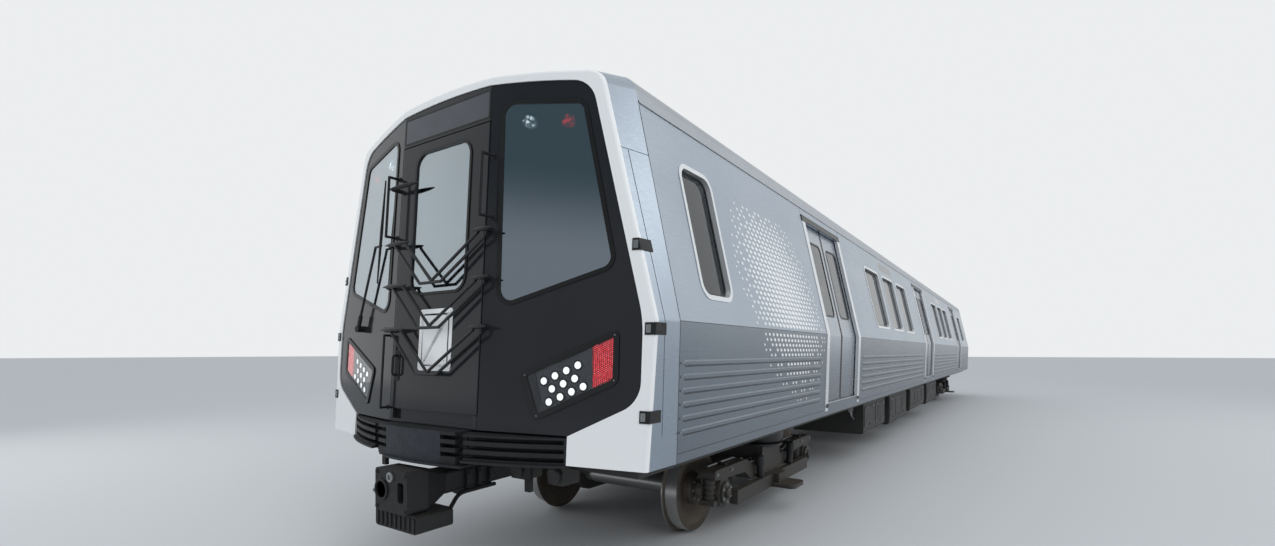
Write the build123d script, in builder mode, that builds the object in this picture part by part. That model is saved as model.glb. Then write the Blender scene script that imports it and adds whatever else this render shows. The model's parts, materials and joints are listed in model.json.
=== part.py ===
"""Cab car of a stainless-steel metro train, in millimetres.

+X runs to the cab end, +Y to the car's left side, +Z up. The origin is under the middle
of the car, level with the lowest points of the wheel flanges.
"""

from build123d import *
import os

os.makedirs("parts", exist_ok=True)

# Track and floor heights
FLANGE_HEIGHT = 28.0
RAIL_Z = FLANGE_HEIGHT
FLOOR_Z = RAIL_Z + 1016.0
FLOOR_THICK = 60.0

# Length over the coupler faces, and where the body starts and ends
CAR_LENGTH = 22860.0
FRONT_OVERHANG, REAR_OVERHANG = 530.0, 330.0
COUPLER_FACE_X = CAR_LENGTH / 2
CORNER_X = COUPLER_FACE_X - FRONT_OVERHANG
CAB_JOINT_X = CORNER_X - 250.0
REAR_X = REAR_OVERHANG - COUPLER_FACE_X

# Body section: half widths and heights of its bends
BELT_HALF, BELT_Z = 1545.0, RAIL_Z + 1700.0
SILL_HALF, SILL_Z = BELT_HALF - 25.0, RAIL_Z + 900.0
EAVE_HALF, EAVE_Z = BELT_HALF - 295.0, RAIL_Z + 3060.0
SHOULDER_HALF, SHOULDER_Z = EAVE_HALF - 104.0, RAIL_Z + 3167.0
ROOF_TOP_Z = RAIL_Z + 3306.0
GUTTER_Z = RAIL_Z + 2970.0
BELT_RADIUS = 60.0
WALL = 110.0
ROOF_THICK = 80.0

# The same bends where the nose ends, a little smaller all round
NOSE_X = CORNER_X + 260.0
NOSE_INSET = 20.0
NOSE_SILL_HALF, NOSE_BELT_HALF = SILL_HALF - NOSE_INSET, BELT_HALF - NOSE_INSET
NOSE_EAVE_HALF, NOSE_EAVE_Z = EAVE_HALF - 145.0, RAIL_Z + 3005.0
NOSE_SHOULDER_HALF, NOSE_SHOULDER_Z = NOSE_EAVE_HALF - 155.0, RAIL_Z + 3105.0
NOSE_TOP_Z = RAIL_Z + 3216.0

# Passenger doors
FRONT_DOOR_X, REAR_DOOR_X = CORNER_X - 3950.0, REAR_X + 3650.0
DOOR_CENTRES = (FRONT_DOOR_X, (FRONT_DOOR_X + REAR_DOOR_X) / 2, REAR_DOOR_X)
DOOR_OPENING = 1270.0
DOOR_TOP_Z = RAIL_Z + 2850.0
DOOR_GAP = 8.0
LEAF_MEETING_GAP = 6.0
LEAF_THICK = 36.0
LEAF_LAP = 10.0
DOOR_STROKE = 630.0
SKIN = 30.0
POCKET = 50.0
LEAF_WINDOW_WIDTH = 400.0

# Side windows
WINDOW_LOW_Z, WINDOW_HIGH_Z = RAIL_Z + 1880.0, RAIL_Z + 2700.0
WINDOW_WIDTH = 940.0
WINDOW_PITCH = 1220.0
WINDOW_RADIUS = 90.0
FRAME_WIDTH = 22.0
FRAME_PROUD = 4.0
FRAME_LINING = 9.0
GLASS_THICK = 10.0
GLASS_SET_BACK = 34.0
FIT = 0.3

# Cab front: the middle facet leans back, and the side facets also sweep back
FACE_X = CORNER_X + 250.0
FACE_REF_Z = RAIL_Z + 1220.0
FACE_LEAN = 0.0625
FACE_SWEEP = 0.205
FACE_FLAT_HALF = 430.0
SURROUND_DEPTH = 24.0
SURROUND_EDGE_RADIUS = 20.0
MASK_RECESS = 8.0
MASK_THICK = 50.0
NOSE_SHELL = 50.0
PANEL_GAP = 0.5

# Running gear
BOGIE_X = CORNER_X - 2975.0
AXLE_OFFSET = 1105.0
WHEEL_RADIUS = 355.5
WHEEL_WIDTH = 135.0
BACK_TO_BACK = 1358.0
FLANGE_WIDTH = 32.0
AXLE_Z = RAIL_Z + WHEEL_RADIUS
AXLE_RADIUS = 80.0
JOURNAL_RADIUS = 60.0
JOURNAL_Y = 1000.0

# Heights under the floor
CROSSBEAM_Z = 860.0
BOLSTER_LENGTH = 700.0
PIVOT_RADIUS = 80.0
COUPLER_Z = RAIL_Z + 690.0
COUPLER_PIVOT_X = CORNER_X - 650.0


def write(piece, label):
    piece.part.label = label
    export_step(piece.part, f"parts/{label}.step")


def side_half(z):
    """Half width of the body at a height below the gutter."""
    if z < BELT_Z:
        return SILL_HALF + (BELT_HALF - SILL_HALF) * (z - SILL_Z) / (BELT_Z - SILL_Z)
    return BELT_HALF - (BELT_HALF - EAVE_HALF) * (z - BELT_Z) / (EAVE_Z - BELT_Z)


def side_strip(depth_out, depth_in, low, high, x):
    """Section of a layer of the left wall, between two depths behind its outer face."""
    levels = [low, BELT_Z, high] if low < BELT_Z < high else [low, high]
    outer = [(side_half(z) - depth_out, z) for z in levels]
    inner = [(side_half(z) - depth_in, z) for z in reversed(levels)]
    with BuildSketch(Plane.YZ.offset(x), mode=Mode.PRIVATE) as strip:
        with BuildLine():
            Polyline(*outer, *inner, close=True)
        make_face()
        if len(levels) == 3:
            fillet(strip.vertices().filter_by(lambda v: abs(v.Y - BELT_Z) < 1), BELT_RADIUS)
    return strip.sketch


def side_layer(depth_out, depth_in, low, high, start, end):
    """A layer of the left wall as a solid between two stations along the car."""
    return extrude(side_strip(depth_out, depth_in, low, high, start), amount=end - start, mode=Mode.PRIVATE)


def side_window(centre, width, low, high, radius, depth=600.0):
    """A rounded block through the left wall."""
    with BuildSketch(Plane.XZ.offset(-BELT_HALF), mode=Mode.PRIVATE) as pane:
        with Locations((centre, (low + high) / 2)):
            RectangleRounded(width, high - low, radius)
    return extrude(pane.sketch, amount=depth, both=True, mode=Mode.PRIVATE)


def body_section(x, bends, top):
    """Closed section of the body from its bends, each a half width and a height."""
    sill, belt, eave, shoulder = bends
    with BuildSketch(Plane.YZ.offset(x), mode=Mode.PRIVATE) as section:
        with BuildLine():
            for side in (1, -1):
                points = [(side * half, z) for half, z in (sill, belt, eave, shoulder)]
                Line(points[0], points[1])
                Line(points[1], points[2])
                TangentArc(points[2], points[3], tangent=(points[2][0] - points[1][0], points[2][1] - points[1][1]))
            ThreePointArc((shoulder[0], shoulder[1]), (0, top), (-shoulder[0], shoulder[1]))
            Line((-sill[0], sill[1]), (sill[0], sill[1]))
        make_face()
        fillet(section.vertices().filter_by(lambda v: abs(v.Y - belt[1]) < 1), BELT_RADIUS)
    return section.sketch


BODY_BENDS = ((SILL_HALF, SILL_Z), (BELT_HALF, BELT_Z), (EAVE_HALF, EAVE_Z), (SHOULDER_HALF, SHOULDER_Z))
NOSE_BENDS = (
    (NOSE_SILL_HALF, SILL_Z),
    (NOSE_BELT_HALF, BELT_Z),
    (NOSE_EAVE_HALF, NOSE_EAVE_Z),
    (NOSE_SHOULDER_HALF, NOSE_SHOULDER_Z),
)


def thinner(bends, depth):
    """The same bends moved in by a depth, for the inner face of a shell."""
    sill, belt, eave, shoulder = bends
    return (
        (sill[0] - depth, sill[1] - depth),
        (belt[0] - depth, belt[1]),
        (eave[0] - depth, eave[1] - depth / 3),
        (shoulder[0] - depth / 2, shoulder[1] - depth * 0.8),
    )


def solid_of(sketch, amount, direction=None):
    """A plain extrusion kept apart from the piece being built."""
    return extrude(sketch, amount=amount, dir=direction, mode=Mode.PRIVATE)


def block(low, high):
    """A plain block between two corners."""
    size = [b - a for a, b in zip(low, high)]
    middle = [(a + b) / 2 for a, b in zip(low, high)]
    return Pos(*middle) * Box(*size, mode=Mode.PRIVATE)


def face_x(y, z):
    """Station of the cab face at a place across and up it."""
    sweep = FACE_SWEEP * max(0.0, abs(y) - FACE_FLAT_HALF)
    return FACE_X - FACE_LEAN * (z - FACE_REF_Z) - sweep


def face_slab(front, back):
    """A layer of the whole cab face between two depths behind its surface."""
    base, reach, rise = 700.0, 1700.0, 3000.0
    stations = (-reach, -FACE_FLAT_HALF, FACE_FLAT_HALF, reach)
    outer = [(face_x(y, base) - front, y) for y in stations]
    inner = [(face_x(y, base) - back, y) for y in reversed(stations)]
    with BuildSketch(Plane.XY.offset(base), mode=Mode.PRIVATE) as plan:
        with BuildLine():
            Polyline(*outer, *inner, close=True)
        make_face()
    return solid_of(plan.sketch, rise, (-FACE_LEAN, 0, 1))


def face_panel(outline, front, back):
    """A piece of the cab face inside an outline drawn across the car."""
    return face_slab(front, back) & solid_of(outline, 1400)


FACE_PLANE = Plane.YZ.offset(FACE_X - 900)


def face_outline(points, radii, grow=0.0):
    """An outline across the car from its corners, each with its own rounding."""
    with BuildSketch(FACE_PLANE, mode=Mode.PRIVATE) as outline:
        with BuildLine():
            FilletPolyline(*points, radius=radii, close=True)
        make_face()
        if grow:
            offset(amount=grow, kind=Kind.ARC if grow > 0 else Kind.INTERSECTION)
    return outline.sketch


def nose_solid(depth=0.0):
    """The nose as a closed form, from the cab joint to just ahead of the face."""
    at_joint = body_section(CAB_JOINT_X, thinner(BODY_BENDS, depth), ROOF_TOP_Z - depth)
    at_front = body_section(NOSE_X, thinner(NOSE_BENDS, depth), NOSE_TOP_Z - depth)
    return loft([at_joint, at_front], ruled=True, mode=Mode.PRIVATE)


def both_sides(left):
    """A left-hand solid with its twin on the right."""
    return [left, mirror(left, about=Plane.XZ, mode=Mode.PRIVATE)]


# Cab front outlines, as half width and height pairs of the left half
MASK_LOW_Z = RAIL_Z + 1060.0
MASK_LOW_HALF = 1045.0
MASK_HALF = NOSE_BELT_HALF - 63.0
MASK_SLOPE_Z = RAIL_Z + 1262.0
MASK_BEND_Z = RAIL_Z + 1700.0
MASK_TOP_HALF, MASK_TOP_Z = NOSE_EAVE_HALF + 7.0, RAIL_Z + 3065.0
MASK_APEX_Z = RAIL_Z + 3185.0
MASK_RADII = {"low": 170.0, "bend": 700.0, "top": 190.0}
WINDSCREEN = (
    (525.0, RAIL_Z + 3045.0),
    (MASK_TOP_HALF - 42.0, RAIL_Z + 2955.0),
    (MASK_HALF - 172.0, RAIL_Z + 1998.0),
    (553.0, RAIL_Z + 1790.0),
)
WINDSCREEN_RADII = (75.0, 75.0, 70.0, 90.0)
SEAL_WIDTH = 26.0
SEAL_PROUD = 6.0
CLUSTER_HALF = MASK_HALF - 144.0
CLUSTER = (
    (CLUSTER_HALF - 573.0, RAIL_Z + 1400.0),
    (CLUSTER_HALF, RAIL_Z + 1636.0),
    (CLUSTER_HALF + 4.0, RAIL_Z + 1366.0),
    (CLUSTER_HALF - 478.0, RAIL_Z + 1148.0),
)
CLUSTER_RADII = (25.0, 30.0, 30.0, 25.0)
CLUSTER_DEPTH = 62.0
LAMP_DEPTH = 40.0
CLUSTER_RIM = 22.0
LAMP_RADIUS = 25.0
LAMP_BEZEL, LAMP_BEZEL_PROUD = 5.0, 4.0
LAMP_ORIGIN = (CLUSTER_HALF - 437.0, RAIL_Z + 1362.0)
LAMP_STEP = (69.3, 30.5)
LAMP_ROW_STEP = (18.5, -58.5)
TAIL_LAMP = (
    (CLUSTER_HALF - 148.0, RAIL_Z + 1560.0),
    (CLUSTER_HALF - 20.0, RAIL_Z + 1610.0),
    (CLUSTER_HALF - 17.0, RAIL_Z + 1378.0),
    (CLUSTER_HALF - 138.0, RAIL_Z + 1325.0),
)

MARKER_RADIUS, MARKER_DEPTH = 34.0, 30.0
WHITE_MARKER, RED_MARKER = (693.0, RAIL_Z + 2903.0), (952.0, RAIL_Z + 2865.0)

# End doors
END_DOOR_HALF = 435.0
END_DOOR_LOW_Z, END_DOOR_HIGH_Z = RAIL_Z + 1150.0, RAIL_Z + 2940.0
END_DOOR_THICK = 45.0
END_DOOR_GAP = 8.0
END_WINDOW_HALF = 268.0
DOOR_GLASS_DEPTH = 4.0
END_WINDOW_LOW_Z, END_WINDOW_HIGH_Z = RAIL_Z + 1920.0, RAIL_Z + 2865.0
END_PIN_RADIUS = 7.0
END_PIN_EDGE = 20.0
END_PIN_DEPTH = 45.0
SIGN_LOW_Z, SIGN_HIGH_Z = RAIL_Z + 2972.0, RAIL_Z + 3140.0
SIGN_HALF = 422.0
POCKET_HALF = 400.0

# Front and rear anticlimbers
ANTICLIMBER_HALF = MASK_LOW_HALF - 5.0
ANTICLIMBER_LOW_Z, ANTICLIMBER_TOP_Z = RAIL_Z + 898.0, RAIL_Z + 1048.0
ANTICLIMBER_END_X, ANTICLIMBER_TIP_X = CORNER_X + 130.0, CORNER_X + 400.0
ANTICLIMBER_BACK_X = CORNER_X - 60.0
GROOVE_HEIGHT, GROOVE_DEPTH, GROOVE_COUNT = 25.0, 60.0, 3
CLIMBER_RISE = ANTICLIMBER_TIP_X - ANTICLIMBER_END_X
CLIMBER_RADIUS = (ANTICLIMBER_HALF**2 + CLIMBER_RISE**2) / (2 * CLIMBER_RISE)
CENTRE_HALF, CENTRE_LOW_Z, CENTRE_TOP_Z = 386.0, RAIL_Z + 864.0, RAIL_Z + 1056.0
CENTRE_SMOOTH_HALF = 272.0
SECTION_GAP, GROOVE_END = 57.0, 15.0
LIP_THICK, LIP_PROUD, CENTRE_LIP_START = 14.0, 24.0, -280.0
REAR_WALL = 60.0
REAR_BUFFER_DEPTH = 140.0


def mask_outline(shrink=0.0):
    """Outline of the dark cab mask, with an arched top."""
    low, bend, top = MASK_RADII["low"], MASK_RADII["bend"], MASK_RADII["top"]
    with BuildSketch(FACE_PLANE, mode=Mode.PRIVATE) as outline:
        with BuildLine():
            for side in (1, -1):
                Polyline(
                    (0, MASK_LOW_Z),
                    (side * MASK_LOW_HALF, MASK_LOW_Z),
                    (side * MASK_HALF, MASK_SLOPE_Z),
                    (side * MASK_HALF, MASK_BEND_Z),
                    (side * MASK_TOP_HALF, MASK_TOP_Z),
                )
            ThreePointArc((MASK_TOP_HALF, MASK_TOP_Z), (0, MASK_APEX_Z), (-MASK_TOP_HALF, MASK_TOP_Z))
        make_face()
        for height, radius in ((MASK_SLOPE_Z, low), (MASK_BEND_Z, bend), (MASK_TOP_Z, top)):
            fillet(outline.vertices().filter_by(lambda v: abs(v.Y - height) < 1), radius)
        if shrink:
            offset(amount=-shrink, kind=Kind.INTERSECTION)
    return outline.sketch


def flipped(points, side):
    """Corner points of the left half, or their mirror images in the same turning order."""
    return [(side * y, z) for y, z in points]


def face_box(half, low, high):
    """A rectangle outline across the middle of the cab face."""
    return face_outline([(-half, low), (half, low), (half, high), (-half, high)], 0.0)


# Outer forms shared by the cab pieces
nose = nose_solid()
nose_inside = nose_solid(NOSE_SHELL)
mask_hole = solid_of(mask_outline(), 1400)
foot_hole = solid_of(face_box(MASK_LOW_HALF, SILL_Z - 10, MASK_LOW_Z), 1400)

# White surround of the cab front, rounded along its outer edge, with its two skirts
def on_rim(edge):
    """Whether an edge lies in the cab face, away from its two bends and above the sill."""
    places = [edge @ part for part in (0, 0.5, 1)]
    in_face = all(abs(place.X - face_x(place.Y, place.Z)) < 0.5 for place in places)
    middle = places[1]
    return in_face and abs(abs(middle.Y) - FACE_FLAT_HALF) > 1 and middle.Z > SILL_Z + 1


with BuildPart() as cab_surround:
    add(nose & face_slab(0, SURROUND_DEPTH))
    fillet(cab_surround.edges().filter_by(on_rim), SURROUND_EDGE_RADIUS)
    add(mask_hole, mode=Mode.SUBTRACT)
    add(foot_hole, mode=Mode.SUBTRACT)
write(cab_surround, "cab_surround")

# Stainless nose shell behind the surround, with shallow grooves where its panels meet
SEAM_WIDTH, SEAM_DEPTH = 6.0, 3.0
SEAM_X, SEAM_LOW_Z, SEAM_HIGH_Z = CORNER_X - 90.0, RAIL_Z + 1072.0, RAIL_Z + 2660.0
SEAM_LINES = (  # ends along the car, ends up it
    (SEAM_X, SEAM_X, SEAM_LOW_Z, SEAM_HIGH_Z),
    (CAB_JOINT_X, CORNER_X + 60.0, SEAM_HIGH_Z, SEAM_HIGH_Z),
    (CAB_JOINT_X, SEAM_X, SEAM_LOW_Z, SEAM_LOW_Z),
)
seam_skin = nose - nose_solid(SEAM_DEPTH)
with BuildPart() as cab_shell:
    add(nose & face_slab(SURROUND_DEPTH + PANEL_GAP, 900))
    add(nose_inside, mode=Mode.SUBTRACT)
    for start, end, low, high in SEAM_LINES:
        near, far = start - SEAM_WIDTH / 2, end + SEAM_WIDTH / 2
        line = block((near, 0, low - SEAM_WIDTH / 2), (far, BELT_HALF + 50, high + SEAM_WIDTH / 2))
        add(both_sides(seam_skin & line), mode=Mode.SUBTRACT)
write(cab_shell, "cab_shell")

# Dark mask with its window, lamp, sign and door openings
end_opening = face_box(END_DOOR_HALF + END_DOOR_GAP, END_DOOR_LOW_Z - END_DOOR_GAP, END_DOOR_HIGH_Z + END_DOOR_GAP)
step_pocket = face_box(POCKET_HALF, MASK_LOW_Z + 20, END_DOOR_LOW_Z - END_DOOR_GAP)
mask_cuts = [
    face_panel(end_opening, -50, 300),
    face_panel(step_pocket, -50, 40),
    face_panel(face_box(SIGN_HALF + FIT, SIGN_LOW_Z - FIT, SIGN_HIGH_Z + FIT), -50, 300),
]
for side in (1, -1):
    mask_cuts.append(face_panel(face_outline(flipped(WINDSCREEN, side), WINDSCREEN_RADII), -50, 300))
    mask_cuts.append(face_panel(face_outline(flipped(CLUSTER, side), CLUSTER_RADII), -50, 300))
hinge_lean = Vector(-FACE_LEAN, 0, 1).normalized()
hinge_y = END_DOOR_HALF - END_PIN_EDGE
hinge_x = face_x(0, END_DOOR_LOW_Z) - END_PIN_DEPTH
hinge_foot = Vector(hinge_x, hinge_y, END_DOOR_LOW_Z)
hinge_head = hinge_foot + hinge_lean * ((END_DOOR_HIGH_Z - END_DOOR_LOW_Z) / hinge_lean.Z)


def hinge_pin(foot, radius, length):
    """A pin along the leaning hinge line, centred on its foot."""
    return Plane(foot, z_dir=hinge_lean) * Cylinder(radius, length, mode=Mode.PRIVATE)


PIN_REACH = 14.0
with BuildPart() as cab_mask:
    add(face_panel(mask_outline(PANEL_GAP), MASK_RECESS, MASK_RECESS + MASK_THICK))
    for cut in mask_cuts:
        add(cut, mode=Mode.SUBTRACT)
    for foot in (hinge_foot, hinge_head):
        add(hinge_pin(foot, END_PIN_RADIUS + FIT, 2 * PIN_REACH + 2 * FIT), mode=Mode.SUBTRACT)
write(cab_mask, "cab_mask")

# End door of the cab, leaning with the face, on two pins
door_window = [
    (-END_WINDOW_HALF, END_WINDOW_LOW_Z),
    (END_WINDOW_HALF, END_WINDOW_LOW_Z),
    (END_WINDOW_HALF, END_WINDOW_HIGH_Z),
    (-END_WINDOW_HALF, END_WINDOW_HIGH_Z),
]
door_panel = face_panel(
    face_box(END_DOOR_HALF, END_DOOR_LOW_Z, END_DOOR_HIGH_Z), MASK_RECESS, MASK_RECESS + END_DOOR_THICK
)
DOOR_RING_WIDTH, DOOR_RING_PROUD = 18.0, 7.0
END_WINDOW_RADIUS = 95.0
with BuildPart() as cab_end_door:
    add(door_panel)
    ring = face_outline(door_window, END_WINDOW_RADIUS, DOOR_RING_WIDTH)
    add(face_panel(ring, MASK_RECESS - DOOR_RING_PROUD, MASK_RECESS + 1))
    add(face_panel(face_outline(door_window, END_WINDOW_RADIUS), -50, 300), mode=Mode.SUBTRACT)
    for foot in (hinge_foot, hinge_head):
        add(hinge_pin(foot, END_PIN_RADIUS, 2 * PIN_REACH))
    pane = face_outline(door_window, END_WINDOW_RADIUS, -FIT)
    add(face_panel(pane, MASK_RECESS + DOOR_GLASS_DEPTH, MASK_RECESS + DOOR_GLASS_DEPTH + GLASS_THICK))
write(cab_end_door, "cab_end_door")

# Windscreens and the rubber seals around them
WINDSCREEN_THICK = 14.0
WINDSCREEN_BACK = MASK_RECESS + FIT + WINDSCREEN_THICK
with BuildPart() as windscreens:
    for side in (1, -1):
        pane = face_outline(flipped(WINDSCREEN, side), WINDSCREEN_RADII, -FIT)
        add(face_panel(pane, MASK_RECESS + FIT, WINDSCREEN_BACK))
write(windscreens, "windscreens")

with BuildPart() as windscreen_seals:
    for side in (1, -1):
        outer = face_outline(flipped(WINDSCREEN, side), WINDSCREEN_RADII, SEAL_WIDTH / 2)
        inner = face_outline(flipped(WINDSCREEN, side), WINDSCREEN_RADII, -SEAL_WIDTH / 2)
        add(face_panel(outer, MASK_RECESS - SEAL_PROUD, MASK_RECESS))
        add(face_panel(inner, -50, MASK_RECESS + 50), mode=Mode.SUBTRACT)
write(windscreen_seals, "windscreen_seals")

# Lamp clusters: housings, round headlamps in rows of 4, 3 and 4, and tail lamps
LAMP_ROWS = ((0, 4, 0.0), (1, 3, 0.5), (2, 4, 0.0))  # row, count, shift in steps
lamp_places = [
    (
        LAMP_ORIGIN[0] + LAMP_STEP[0] * (column + shift) + LAMP_ROW_STEP[0] * row,
        LAMP_ORIGIN[1] + LAMP_STEP[1] * (column + shift) + LAMP_ROW_STEP[1] * row,
    )
    for row, count, shift in LAMP_ROWS
    for column in range(count)
]


def lamp_disc(side, place, radius, front, back):
    """A round piece of a headlamp, level with the sweep of the face."""
    y, z = place
    with BuildSketch(FACE_PLANE, mode=Mode.PRIVATE) as disc:
        with Locations((side * y, z)):
            Circle(radius)
    return face_panel(disc.sketch, front, back)


with BuildPart() as left_housing:
    add(face_panel(face_outline(CLUSTER, CLUSTER_RADII, -FIT), MASK_RECESS - 6, CLUSTER_DEPTH))
    well = face_outline(CLUSTER, CLUSTER_RADII, -CLUSTER_RIM)
    add(face_panel(well, -50, MASK_RECESS + 4), mode=Mode.SUBTRACT)
    bezel = (LAMP_RADIUS + LAMP_BEZEL, MASK_RECESS + 4 - LAMP_BEZEL_PROUD, MASK_RECESS + 5)
    add([lamp_disc(1, place, *bezel) for place in lamp_places])
    add([lamp_disc(1, place, LAMP_RADIUS + FIT, -50, LAMP_DEPTH) for place in lamp_places], mode=Mode.SUBTRACT)
    add(face_panel(face_outline(TAIL_LAMP, 8.0, FIT), -50, LAMP_DEPTH), mode=Mode.SUBTRACT)
with BuildPart() as lamp_housings:
    add(both_sides(left_housing.part))
write(lamp_housings, "lamp_housings")

with BuildPart() as headlamps:
    for side in (1, -1):
        for place in lamp_places:
            add(lamp_disc(side, place, LAMP_RADIUS, MASK_RECESS + 2, LAMP_DEPTH - FIT))
        add(lamp_disc(side, WHITE_MARKER, MARKER_RADIUS, WINDSCREEN_BACK + FIT, WINDSCREEN_BACK + MARKER_DEPTH))
write(headlamps, "headlamps")

with BuildPart() as tail_lamps:
    for side in (1, -1):
        add(face_panel(face_outline(flipped(TAIL_LAMP, side), 8.0), MASK_RECESS + 2, LAMP_DEPTH - FIT))
        add(lamp_disc(side, RED_MARKER, MARKER_RADIUS, WINDSCREEN_BACK + FIT, WINDSCREEN_BACK + MARKER_DEPTH))
write(tail_lamps, "tail_lamps")

# Anticlimbers: a curved front one in three slotted sections with ledges below, and a flat rear one
def climber_drum(depth, low, high):
    """The drum whose side is the curved front of the anticlimber, made smaller by a depth."""
    place = Pos(ANTICLIMBER_TIP_X - CLIMBER_RADIUS, 0, (low + high) / 2)
    return place * Cylinder(CLIMBER_RADIUS - depth, high - low, mode=Mode.PRIVATE)


def climber_bar(depth, ends, low, high):
    """A stretch of the anticlimber between two places across the car."""
    return climber_drum(depth, low, high) & block((ANTICLIMBER_BACK_X, ends[0], low), (COUPLER_FACE_X, ends[1], high))


def climber_slot(ends, level):
    """A slot sunk into the curved front at a level."""
    low, high = level - GROOVE_HEIGHT / 2, level + GROOVE_HEIGHT / 2
    return block((CORNER_X, ends[0], low), (COUPLER_FACE_X, ends[1], high)) - climber_drum(GROOVE_DEPTH, low, high)


rib_pitch = (ANTICLIMBER_TOP_Z - ANTICLIMBER_LOW_Z) / GROOVE_COUNT
groove_levels = [ANTICLIMBER_LOW_Z + rib_pitch * (groove + 0.5) for groove in range(GROOVE_COUNT)]
wing_near = CENTRE_HALF + SECTION_GAP
wing_ends = ((-ANTICLIMBER_HALF, -wing_near), (wing_near, ANTICLIMBER_HALF))
slot_ends = (
    (GROOVE_END - ANTICLIMBER_HALF, 1 - wing_near),
    (-CENTRE_HALF - 1, -CENTRE_SMOOTH_HALF),
    (CENTRE_SMOOTH_HALF, CENTRE_HALF + 1),
    (wing_near - 1, ANTICLIMBER_HALF - GROOVE_END),
)
rear_face = REAR_X - REAR_WALL
rear_middle_z = (ANTICLIMBER_LOW_Z + ANTICLIMBER_TOP_Z) / 2
with BuildPart() as anticlimbers:
    whole = (-ANTICLIMBER_HALF, ANTICLIMBER_HALF)
    add(climber_bar(GROOVE_DEPTH, whole, ANTICLIMBER_LOW_Z, ANTICLIMBER_TOP_Z))
    add(climber_bar(0, (-CENTRE_HALF, CENTRE_HALF), CENTRE_LOW_Z, CENTRE_TOP_Z))
    add(climber_bar(-LIP_PROUD, (CENTRE_LIP_START, wing_near), CENTRE_LOW_Z - LIP_THICK, CENTRE_LOW_Z))
    for ends in wing_ends:
        add(climber_bar(0, ends, ANTICLIMBER_LOW_Z, ANTICLIMBER_TOP_Z))
        add(climber_bar(-LIP_PROUD, ends, ANTICLIMBER_LOW_Z - LIP_THICK, ANTICLIMBER_LOW_Z))
    with Locations((rear_face - REAR_BUFFER_DEPTH / 2, 0, rear_middle_z)):
        Box(REAR_BUFFER_DEPTH, 2 * ANTICLIMBER_HALF, ANTICLIMBER_TOP_Z - ANTICLIMBER_LOW_Z)
    for level in groove_levels:
        for ends in slot_ends:
            add(climber_slot(ends, level), mode=Mode.SUBTRACT)
        with Locations((rear_face - REAR_BUFFER_DEPTH, 0, level)):
            Box(2 * GROOVE_DEPTH, 2 * (ANTICLIMBER_HALF - GROOVE_END), GROOVE_HEIGHT, mode=Mode.SUBTRACT)
write(anticlimbers, "anticlimbers")

# Side walls: door openings with their pockets, windows and sign recesses
HALF_OPENING = DOOR_OPENING / 2
POCKET_END = HALF_OPENING + DOOR_STROKE + 2 * LEAF_LAP
LEAF_LOW_Z, LEAF_TOP_Z = FLOOR_Z + DOOR_GAP, DOOR_TOP_Z + 20.0
POCKET_TOP_Z = LEAF_TOP_Z + DOOR_GAP
LEAF_DEPTH = SKIN + (POCKET - LEAF_THICK) / 2
GUIDE_DEPTH, GUIDE_THICK, GUIDE_HEIGHT = SKIN + 20.0, 10.0, 12.0
LEAF_WINDOW_LOW_Z, LEAF_WINDOW_HIGH_Z = RAIL_Z + 1905.0, RAIL_Z + 2660.0
CAB_WINDOW_X, CAB_WINDOW_WIDTH = CORNER_X - 835.0, 430.0
CAB_WINDOW_LOW_Z, CAB_WINDOW_HIGH_Z = RAIL_Z + 1875.0, RAIL_Z + 2712.0
REAR_WINDOW_X = DOOR_CENTRES[-1] - 2000.0
SIDE_SIGN_WIDTH, SIDE_SIGN_LOW_Z, SIDE_SIGN_HIGH_Z = 1000.0, RAIL_Z + 2790.0, RAIL_Z + 2910.0
SIDE_SIGN_DEPTH = 14.0
WALL_START, WALL_END = REAR_X, CAB_JOINT_X - PANEL_GAP

bay_middles = [(a + b) / 2 for a, b in zip(DOOR_CENTRES, DOOR_CENTRES[1:])]
side_windows = [(CAB_WINDOW_X, CAB_WINDOW_WIDTH, CAB_WINDOW_LOW_Z, CAB_WINDOW_HIGH_Z)]  # centre, width, low, high
for middle in bay_middles:
    for step in (-1, 0, 1):
        side_windows.append((middle + step * WINDOW_PITCH, WINDOW_WIDTH, WINDOW_LOW_Z, WINDOW_HIGH_Z))
side_windows.append((REAR_WINDOW_X, WINDOW_WIDTH, WINDOW_LOW_Z, WINDOW_HIGH_Z))

wall_layer = side_layer(0, WALL, SILL_Z, GUTTER_Z, WALL_START, WALL_END)
door_cuts = []
for centre in DOOR_CENTRES:
    pocket_ends = (centre - POCKET_END, centre + POCKET_END)
    door_cuts.append(side_layer(SKIN, SKIN + POCKET, FLOOR_Z, POCKET_TOP_Z, *pocket_ends))
    guide_ends = (GUIDE_DEPTH - FIT, GUIDE_DEPTH + GUIDE_THICK + FIT)
    door_cuts.append(side_layer(*guide_ends, FLOOR_Z - GUIDE_HEIGHT - FIT, FLOOR_Z + 1, *pocket_ends))
    door_cuts.append(
        block((centre - HALF_OPENING, 1000, FLOOR_Z), (centre + HALF_OPENING, BELT_HALF + 50, DOOR_TOP_Z))
    )
window_cuts = [side_window(*window, WINDOW_RADIUS) for window in side_windows]
sign_recesses = [
    side_layer(0, SIDE_SIGN_DEPTH, SIDE_SIGN_LOW_Z, SIDE_SIGN_HIGH_Z, middle - SIDE_SIGN_WIDTH / 2, middle + SIDE_SIGN_WIDTH / 2)
    for middle in bay_middles
]

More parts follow.
